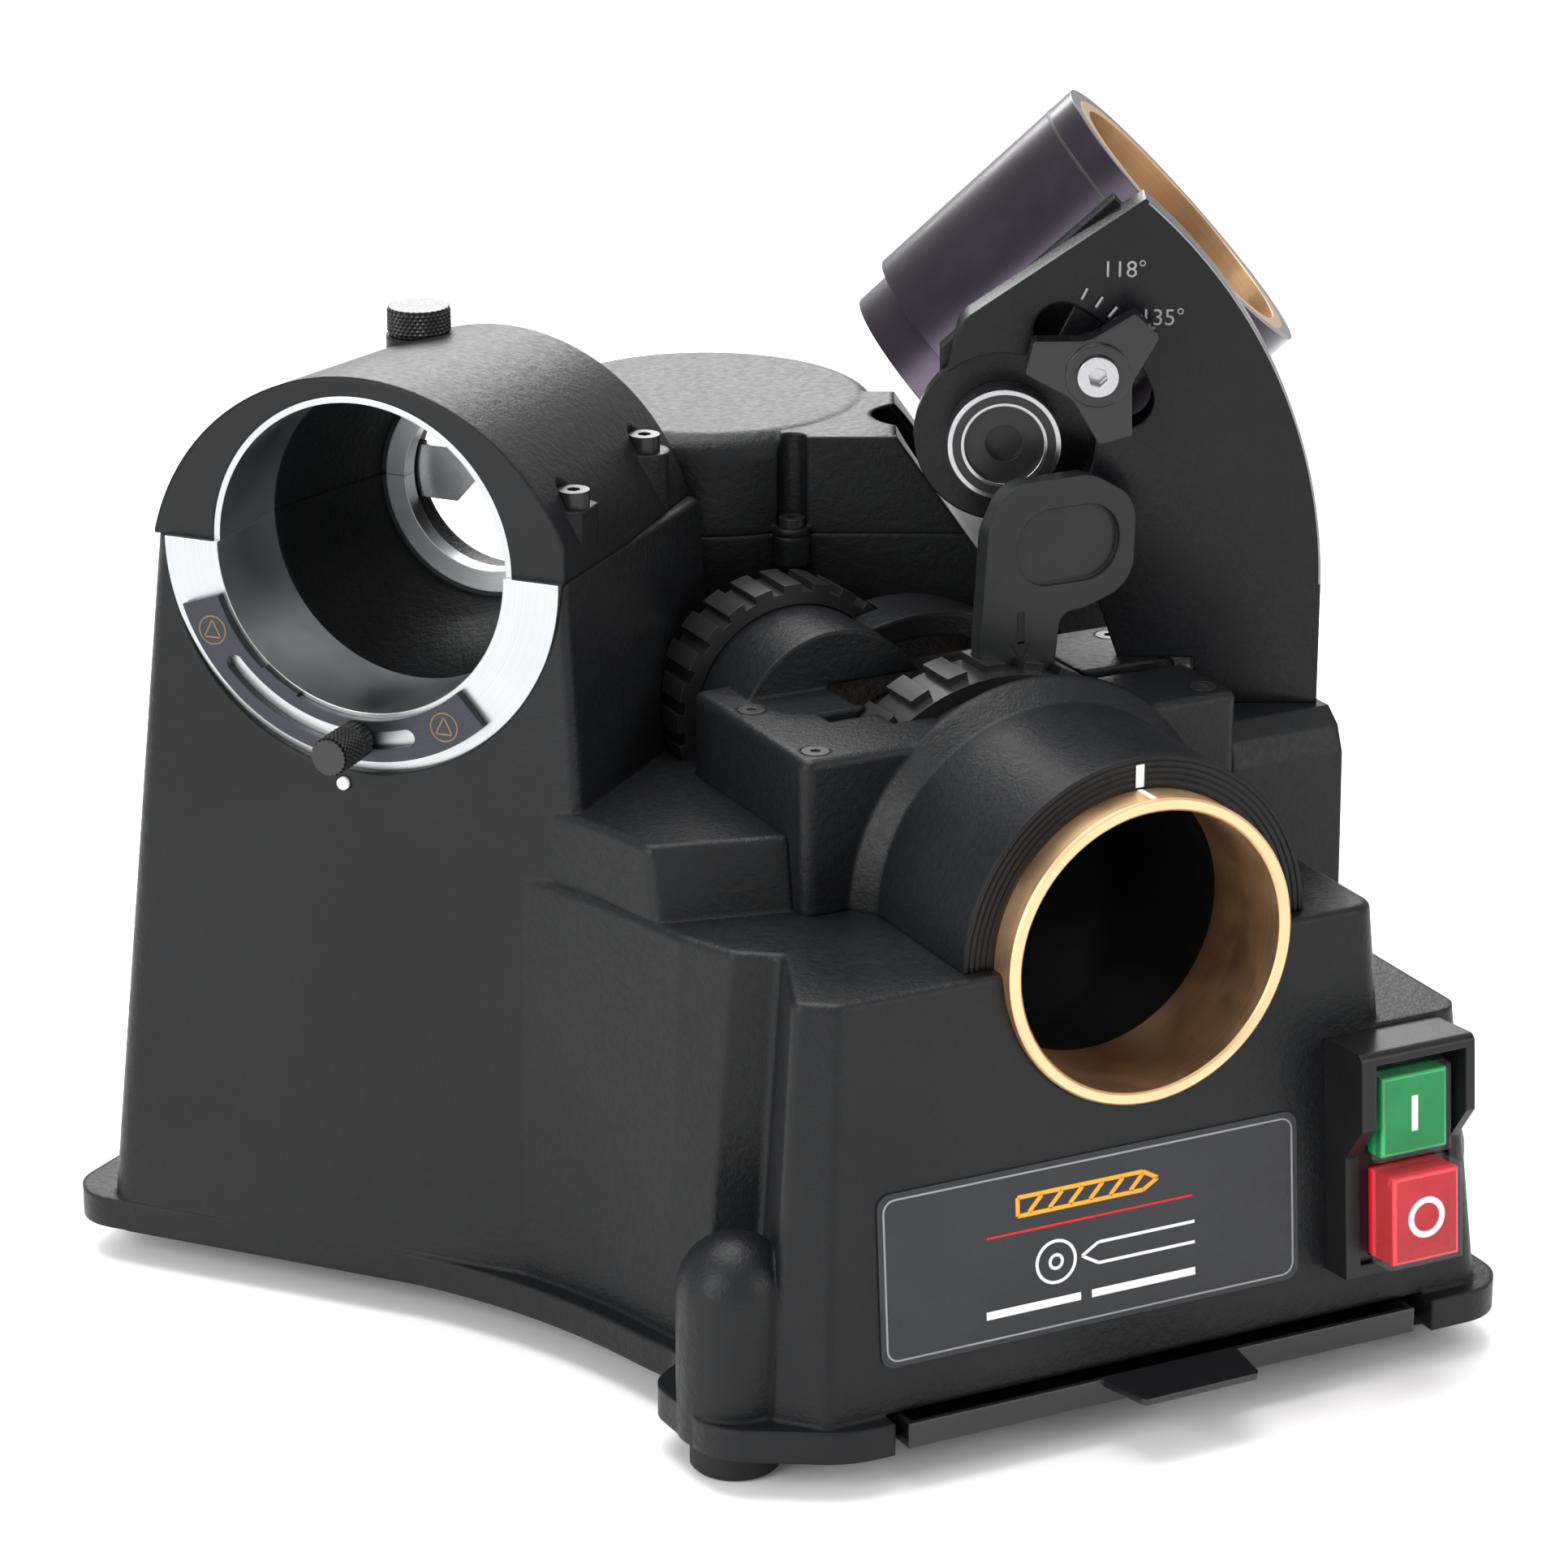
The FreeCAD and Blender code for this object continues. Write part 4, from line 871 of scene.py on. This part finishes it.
def grow(name: str, tree: bpy.types.NodeTree, inputs: dict[str, object], place: Place,
         points: Sequence[Spot] = ((0.0, 0.0, 0.0),)) -> Piece:
    """Run a node tree and keep its result as a plain mesh.

    Args:
        name: the object's name.
        tree: the tree.
        inputs: values of its named inputs.
        place: the frame the result is drawn in.
        points: points handed to the tree as its geometry.

    Returns:
        The object.
    """
    seed = bpy.data.meshes.new(name + "_points")
    seed.from_pydata(list(points), [], [])
    holder = new_object(name + "_holder", seed, None)
    modifier = holder.modifiers.new("grow", "NODES")
    modifier.node_group = tree
    for item in tree.interface.items_tree:
        if getattr(item, "in_out", "") == "INPUT" and item.name in inputs:
            modifier[item.identifier] = inputs[item.name]
    bpy.context.view_layer.update()
    mesh = bpy.data.meshes.new_from_object(holder.evaluated_get(bpy.context.evaluated_depsgraph_get()))
    holder.modifiers.clear()
    bpy.data.objects.remove(holder)
    mesh.transform(place.matrix())
    return new_object(name, mesh, None)


# ------------------------------------------------------------------ sub-assemblies
def mark(name: str, corners: Sequence[Point], place: Place, face: float, coat: Coat, body: str,
         proud: float = 0.00015) -> Piece:
    """A thin painted shape lying on a face.

    Args:
        name: its name.
        corners: its outline.
        place: the frame it is drawn in.
        face: y of the face it lies on.
        coat: its finish.
        body: the body it rides on.
        proud: how far it stands off.

    Returns:
        The object.
    """
    shape = plate_bmesh(corners, face - proud, face + SUNK)
    return settle(from_bmesh(name, shape, place, coat), body)


def drawing(name: str, paths: Iterable[Sequence[Point]], width: float, place: Place, face: float,
            coat: Coat, body: str, proud: float = 0.00012) -> Piece:
    """Thin painted lines lying on a face.

    Args:
        name: the piece's name.
        paths: the lines.
        width: how wide they are.
        place: the frame they are drawn in.
        face: y of the face they lie on.
        coat: their finish.
        body: the body they ride on.
        proud: how far they stand off.

    Returns:
        The piece.
    """
    shape = bmesh.new()
    for path in paths:
        for start, end in zip(path, path[1:]):
            add_plate(shape, stroke([start, end], width), face - proud, face + SUNK)
    return settle(from_bmesh(name, shape, place, coat), body)


def rounded(x0: float, x1: float, z0: float, z1: float, radius: float) -> list[Point]:
    """A rectangle with round corners.

    Args:
        x0: its left side.
        x1: its right side.
        z0: its bottom.
        z1: its top.
        radius: the corners' radius.

    Returns:
        The outline, anticlockwise.
    """
    points: list[Point] = []
    for cx, cz, start in ((x1 - radius, z0 + radius, -90), (x1 - radius, z1 - radius, 0),
                          (x0 + radius, z1 - radius, 90), (x0 + radius, z0 + radius, 180)):
        points += ring_points(radius, start, start + 90, 8, cx, cz)
    return points


class SubAssembly:
    """A group of parts that is dressed and built together."""

    coats: dict[str, Coat] = {}

    def dress(self) -> None:
        """Give every carried-over part its finish."""
        for node, coat in self.coats.items():
            dress_node(node, coat)

    def build(self) -> None:
        """Make the added pieces; most groups have some."""


@dataclass(frozen=True)
class Screws:
    """A set of socket screws seen from above."""

    radius: float
    height: float
    socket: float

    def build(self, name: str, points: Sequence[Spot], place: Place, body: str,
              coat: Coat) -> Piece:
        """Grow the heads.

        Args:
            name: the piece's name.
            points: the middle of each head's underside.
            place: the frame the points are in.
            body: the body they ride on.
            coat: their finish.

        Returns:
            The piece.
        """
        inputs = {"Radius": self.radius, "Height": self.height, "Socket": self.socket,
                  "Finish": coat.material()}
        return settle(grow(name, screw_tree(), inputs, place, points), body)


@dataclass(frozen=True)
class Knurl:
    """Diamond points round a knob."""

    radius: float
    length: float
    around: int
    along: int
    height: float = 0.00035

    def build(self, name: str, place: Place, body: str, slot: str, coat: Coat) -> Piece:
        """Grow the points.

        Args:
            name: the piece's name.
            place: frame whose y runs along the knob from its end.
            body: the body it rides on.
            slot: a material slot name; not used.
            coat: its finish.

        Returns:
            The piece.
        """
        inputs = {"Radius": self.radius, "Length": self.length, "Height": self.height, "Around": self.around,
                  "Along": self.along, "Finish": coat.material()}
        return settle(grow(name, knurl_tree(), inputs, place), body)


@dataclass
class Casting(SubAssembly):
    """The cast body, its floor, feet, label and inlet."""

    label: tuple[float, float, float, float] = (-0.073, 0.041, -0.0905, -0.0475)
    label_face: float = -0.0005
    line: float = 0.0005
    coats = {
        "lower_housing": Coat.HOUSING, "bottom_plate": Coat.SWITCH, "feet": Coat.RUBBER,
        "foot_screws": Coat.STEEL, "name_plate": Coat.LABEL, "power_inlet": Coat.SWITCH,
        "grit_tray": Coat.GLOSS, "port_block": Coat.HOUSING, "block_screws": Coat.KNURL}

    def build(self) -> None:
        """Outline and plain picture on the label."""
        self.outline()
        self.picture()

    def outline(self) -> None:
        """Thin light line round the label."""
        x0, x1, z0, z1 = self.label
        inset = 0.0016
        path = rounded(x0 + inset, x1 - inset, z0 + inset, z1 - inset, 0.003)
        path.append(path[0])
        self.draw("label_outline", [path], self.line, Coat.GREY_INK_AND_HIGHLIGHT)

    def picture(self) -> None:
        """A drill over a red rule, a wheel touching a drill's tip, and two plain bars."""
        edge = [(-0.036, -0.0595), (-0.002, -0.0595), (0.002, -0.0572), (-0.002, -0.0549), (-0.036, -0.0549),
                (-0.036, -0.0595)]
        flutes = [[(-0.033 + 0.0055 * i, -0.0590), (-0.0295 + 0.0055 * i, -0.0554)] for i in range(6)]
        self.draw("label_drill", [edge] + flutes, 0.0011, Coat.AMBER_INK)
        self.draw("label_rule", [[(-0.0445, -0.0635), (0.0115, -0.0635)]], 0.0006, Coat.RED_INK)
        wheel = ring_points(0.0052, 0, 360, 36, -0.026, -0.0728)
        hub = ring_points(0.0017, 0, 360, 16, -0.026, -0.0728)
        tip = [(0.012, -0.0702), (-0.0145, -0.0702), (-0.0190, -0.0728), (-0.0145, -0.0754), (0.012, -0.0754)]
        self.draw("label_wheel", [wheel, hub, tip], 0.0008, Coat.WHITE)
        self.draw("label_bars", [[(-0.045, -0.0828), (-0.0195, -0.0828)],
                                 [(-0.0165, -0.0828), (0.012, -0.0828)]],
                  0.0020, Coat.WHITE)

    def draw(self, name: str, paths: Sequence[Sequence[Point]], width: float, coat: Coat) -> None:
        """Lay lines on the label.

        Args:
            name: the piece's name.
            paths: the lines.
            width: how wide they are.
            coat: their finish.
        """
        drawing(name, paths, width, FACE, self.label_face, coat, "housing")


@dataclass
class SharpeningPort(SubAssembly):
    """The bronze bush with its cam ring, lever and stop."""

    bush_r: float = 0.0381
    block_top: float = 0.039
    screws: tuple[Point, ...] = ((-0.056, 0.064), (0.051, 0.064), (-0.056, 0.098), (0.051, 0.110))
    coats = {
        "sharpening_bush": Coat.PORT_BRONZE, "guide_sleeve": Coat.BARREL, "stop_pin": Coat.STEEL,
        "cam_ring": Coat.KNURL, "lever": Coat.PLASTIC, "adjuster_ring": Coat.KNURL}

    def build(self) -> None:
        """White mark over the bush, arrow on the lever and screws in the block."""
        half = 0.0011
        top = [(-half, self.bush_r + 0.0006), (half, self.bush_r + 0.0006), (half, self.bush_r + 0.0062),
               (-half, self.bush_r + 0.0062)]
        mark("port_mark", top, PORT, 0.008, Coat.WHITE, "housing")
        self.rim_mark()
        spots = [(x, y, self.block_top - 0.0008) for x, y in self.screws]
        Screws(0.0034, 0.0009, 0.00135).build("block_screw_faces", spots, PORT, "housing", Coat.KNURL)
        self.arrow()

    def rim_mark(self) -> None:
        """The mark carried on over the bush's outside."""
        line = Place(PORT.at(0.0, 0.0, self.bush_r), PORT.x, -PORT.z, PORT.y)
        mark("bush_mark", [(-0.0007, 0.0012), (0.0007, 0.0012), (0.0007, 0.008), (-0.0007, 0.008)], line, 0.0,
             Coat.WHITE, "housing", 0.0001)

    def arrow(self) -> None:
        """Raised arrow down the lever's stem."""
        shape = plate_bmesh([(0.0085, 0.0590), (0.0105, 0.0590), (0.0105, 0.0510), (0.0085, 0.0510)],
                            0.08185, 0.0822)
        add_plate(shape, [(0.0066, 0.0515), (0.0095, 0.0462), (0.0124, 0.0515)], 0.08185, 0.0822)
        settle(from_bmesh("lever_arrow", shape, PORT, Coat.RUBBER), "cam")


@dataclass
class SettingPort(SubAssembly):
    """The tall port: cap, liners, jaws and the pointer plate."""

    thumb: Point = (-0.0165, 0.066)
    thumb_z: Point = (0.0389, 0.0459)
    knob: Point = (-0.0005, -0.045)
    plate_face: float = -0.0038
    coats = {
        "alignment_cap": Coat.HOUSING, "cap_screws": Coat.KNURL, "cap_thumb_screw": Coat.KNURL,
        "lower_liner": Coat.SILVER, "upper_liner": Coat.SILVER, "inner_ring_lower": Coat.SILVER,
        "inner_ring_upper": Coat.SILVER, "left_jaw": Coat.STEEL, "right_jaw": Coat.STEEL,
        "pointer_plate": Coat.BLUED, "pointer_knob": Coat.KNURL, "index_dot": Coat.WHITE}

    def build(self) -> None:
        """Knurls on both knobs and small pictures at the plate's ends."""
        foot = TOWER.at(self.thumb[0], self.thumb[1], self.thumb_z[0] + 0.0006)
        upright = Place(foot, TOWER.x, TOWER.z, -TOWER.y)
        Knurl(0.0078, 0.0056, 36, 6).build("thumb_knurl", upright, "cap_clamp", "blued", Coat.KNURL)
        inward = TOWER.moved(self.knob[0], -0.0182, self.knob[1])
        Knurl(0.0047, 0.0098, 26, 10, 0.0003).build("knob_knurl", inward, "pointer_clamp", "blued",
                                                    Coat.KNURL)
        for name, angle in (("plate_sign_left", 209.0), ("plate_sign_right", 301.0)):
            self.sign(name, angle)

    def sign(self, name: str, angle: float) -> None:
        """A plain drill-tip picture on the pointer plate.

        Args:
            name: the piece's name.
            angle: where on the plate it lies, in degrees.
        """
        a = math.radians(angle)
        cx, cz = 0.0453 * math.cos(a), 0.0453 * math.sin(a)
        left, right = (cx - 0.0022, cz - 0.0018), (cx + 0.0022, cz - 0.0018)
        tip = [left, (cx, cz + 0.0026), right, left]
        ring = ring_points(0.0036, 0, 360, 25, cx, cz)
        drawing(name, (tip, ring), 0.00042, TOWER, self.plate_face, Coat.BROWN_INK, "pointer",
                0.0001)


class Guard(SubAssembly):
    """The round guard over the wheels."""

    coats = {
        "guard_base": Coat.HOUSING, "guard_cover": Coat.HOUSING, "guard_screws": Coat.KNURL,
        "guard_window": Coat.BLUED}


class Drive(SubAssembly):
    """Motor, shaft and wheels."""

    coats = {
        "motor_body": Coat.BARREL, "motor_bearings": Coat.STEEL, "motor_shaft": Coat.STEEL,
        "sharpening_wheel": Coat.GRIT, "splitting_wheel": Coat.GRIT, "wheel_spacer": Coat.STEEL,
        "wheel_nut": Coat.STEEL, "cooling_fan": Coat.SWITCH}


@dataclass
class Switch(SubAssembly):
    """Start and stop buttons in their shroud."""

    middle: float = 0.06575
    green_face: float = -0.0140
    red_face: float = -0.0190
    coats = {
        "switch_shroud": Coat.SWITCH, "switch_body": Coat.SWITCH, "start_button": Coat.GREEN,
        "stop_button": Coat.RED, "start_cover": Coat.CLEAR, "stop_cover": Coat.CLEAR}

    def build(self) -> None:
        """White bar on the green button and white ring on the red one."""
        m = self.middle
        bar = [(m - 0.0009, -0.0535), (m + 0.0009, -0.0535), (m + 0.0009, -0.0445), (m - 0.0009, -0.0445)]
        mark("start_mark", bar, FACE, self.green_face, Coat.WHITE, "start")
        ring = ring_points(0.0044, 0, 360, 41, m, -0.074)
        drawing("stop_mark", [ring], 0.0016, FACE, self.red_face, Coat.WHITE, "stop", 0.00015)


@dataclass
class SplittingHead(SubAssembly):
    """The quadrant plate and the tilting barrel."""

    pivot: Point = (-0.079, 0.0675)
    tick_r: float = 0.04205
    first: float = 46.0
    step: float = 5.67
    coats = {
        "quadrant_plate": Coat.QUADRANT, "quadrant_screws": Coat.KNURL, "tube_bracket": Coat.BRACKET,
        "split_tube": Coat.SPLIT_TUBE, "split_bush": Coat.HEAD_BRONZE, "split_nose": Coat.SPLIT_TUBE,
        "pivot_bolt": Coat.KNURL, "pivot_ring": Coat.RIM, "angle_pointer": Coat.QUADRANT,
        "clamp_knob": Coat.GLOSS, "clamp_screw": Coat.RIM}

    def build(self) -> None:
        """Scale ticks, their numbers, the line turned in the barrel and a painted highlight along the plate's
        arc edge.
        """
        dial = PLATE.moved(self.pivot[0], 0.0, self.pivot[1])
        inputs = {"Radius": self.tick_r, "Start": math.radians(self.first), "Step": math.radians(self.step),
                  "Count": 4, "Block": (0.0031, 0.0004, 0.0006), "Finish": Coat.GREY_INK_AND_HIGHLIGHT.material()}
        settle(grow("scale_ticks", block_tree(), inputs, dial), "housing")
        groove = lathe([(0.0106, -0.0027), (0.0127, -0.0027), (0.0127, -0.0020), (0.0106, -0.0020),
                        (0.0106, -0.0027)], 64)
        boss = Place(HEAD.origin, PLATE.x, PLATE.y, PLATE.z)
        settle(from_bmesh("pivot_groove", groove, boss, Coat.KNURL), "split_head")
        self.line()
        # Thin grey stroke along the plate's curved edge: a painted highlight where light catches that edge.
        highlight_band = stroke(ring_points(0.1292, 0.5, 49.0, 60, -0.1295, 0.030), 0.0005)
        mark("plate_edge_highlight", highlight_band, PLATE, 0.0, Coat.GREY_INK_AND_HIGHLIGHT, "housing", 0.00008)
        numbers = (("scale_118", "118°", -0.0558, 0.1092), ("scale_135", "135°", -0.0463, 0.0972))
        for name, words, s, z in numbers:
            made = lettering(name, words, 0.0058, Vector((s, -0.00012, z)), PLATE, Coat.GREY_INK_AND_HIGHLIGHT)
            settle(made, "housing")

    def line(self) -> None:
        """Fine dark line turned round the barrel behind its mouth."""
        band = lathe([(0.04195, -0.0004), (0.04212, -0.0004), (0.04212, 0.0004), (0.04195, 0.0004),
                      (0.04195, -0.0004)], 160)
        across = Place(SPLIT_AXIS.at(0.0560, 0.0, 0.0), SPLIT_AXIS.y, SPLIT_AXIS.x, -SPLIT_AXIS.z)
        settle(from_bmesh("tube_line", band, across, Coat.KNURL), "split_head")


@dataclass(frozen=True)
class Studio:
    """Camera, soft lights and pale floor."""

    eye: Spot = (-0.5472, -1.0880, 0.5637)
    right: Spot = (0.8926, -0.4509, 0.0)
    up: Spot = (0.1512, 0.2994, 0.942)
    lens: float = 119.3

    def build(self) -> None:
        """Everything that isn't the machine."""
        self.camera()
        self.world()
        self.lights()
        self.floor()

    def camera(self) -> None:
        """A long lens looking down from the front left."""
        data = bpy.data.cameras.new("camera")
        data.lens = self.lens
        data.sensor_width = 36.0
        data.clip_start = 0.05
        made = bpy.data.objects.new("camera", data)
        x, z = Vector(self.right).normalized(), Vector(self.up).normalized()
        back = x.cross(z).normalized()
        turn = Matrix((x, back.cross(x), back)).transposed().to_4x4()
        made.matrix_world = Matrix.Translation(self.eye) @ turn
        bpy.context.scene.collection.objects.link(made)
        bpy.context.scene.camera = made

    def world(self) -> None:
        """Even pale surroundings."""
        world = bpy.data.worlds.new("studio")
        world.use_nodes = True
        shade = world.node_tree.nodes["Background"]
        shade.inputs["Color"].default_value = (1.0, 1.0, 1.0, 1.0)
        shade.inputs["Strength"].default_value = 0.75
        bpy.context.scene.world = world
        bpy.context.scene.view_settings.view_transform = "Standard"

    def lights(self) -> None:
        """A big box overhead, one from the left and a weaker one in front."""
        aims = (("over", (-0.1, 0.25, 1.5), 1.1, 26.0), ("left", (-1.5, -0.5, 0.75), 0.9, 20.0),
                ("front", (0.8, -1.6, 0.7), 0.8, 10.0), ("back", (0.6, 1.4, 0.9), 0.9, 14.0))
        for name, spot, size, power in aims:
            data = bpy.data.lights.new(name, "AREA")
            data.size = size
            data.energy = power
            made = bpy.data.objects.new(name, data)
            made.location = spot
            made.rotation_euler = (Vector(spot) - Vector((0, 0, 0.13))).to_track_quat("Z", "Y").to_euler()
            bpy.context.scene.collection.objects.link(made)

    def floor(self) -> None:
        """A wide pale floor under the feet."""
        mesh = bpy.data.meshes.new("floor")
        mesh.from_pydata([(-6, -6, 0), (6, -6, 0), (6, 6, 0), (-6, 6, 0)], [], [(0, 1, 2, 3)])
        graph = Graph("floor_white")
        tone = graph.noise(2.0, 2.0, 0.5)
        graph.shade({"Base Color": graph.blend(tone, (0.93, 0.93, 0.93), (0.95, 0.95, 0.95)),
                     "Roughness": 0.6})
        floor = new_object("floor", mesh, graph.material)
        floor.location.z = -0.0005


def main() -> None:
    """Build the machine group by group, then the studio."""
    logging.basicConfig(level=logging.INFO, format="%(message)s")
    groups: tuple[SubAssembly, ...] = (Casting(), SharpeningPort(), SettingPort(), Guard(), Drive(), Switch(),
                                       SplittingHead())
    for group in groups:
        log.info("building %s", type(group).__name__)
        group.dress()
        group.build()
    Studio().build()


if __name__ == "__main__":
    main()
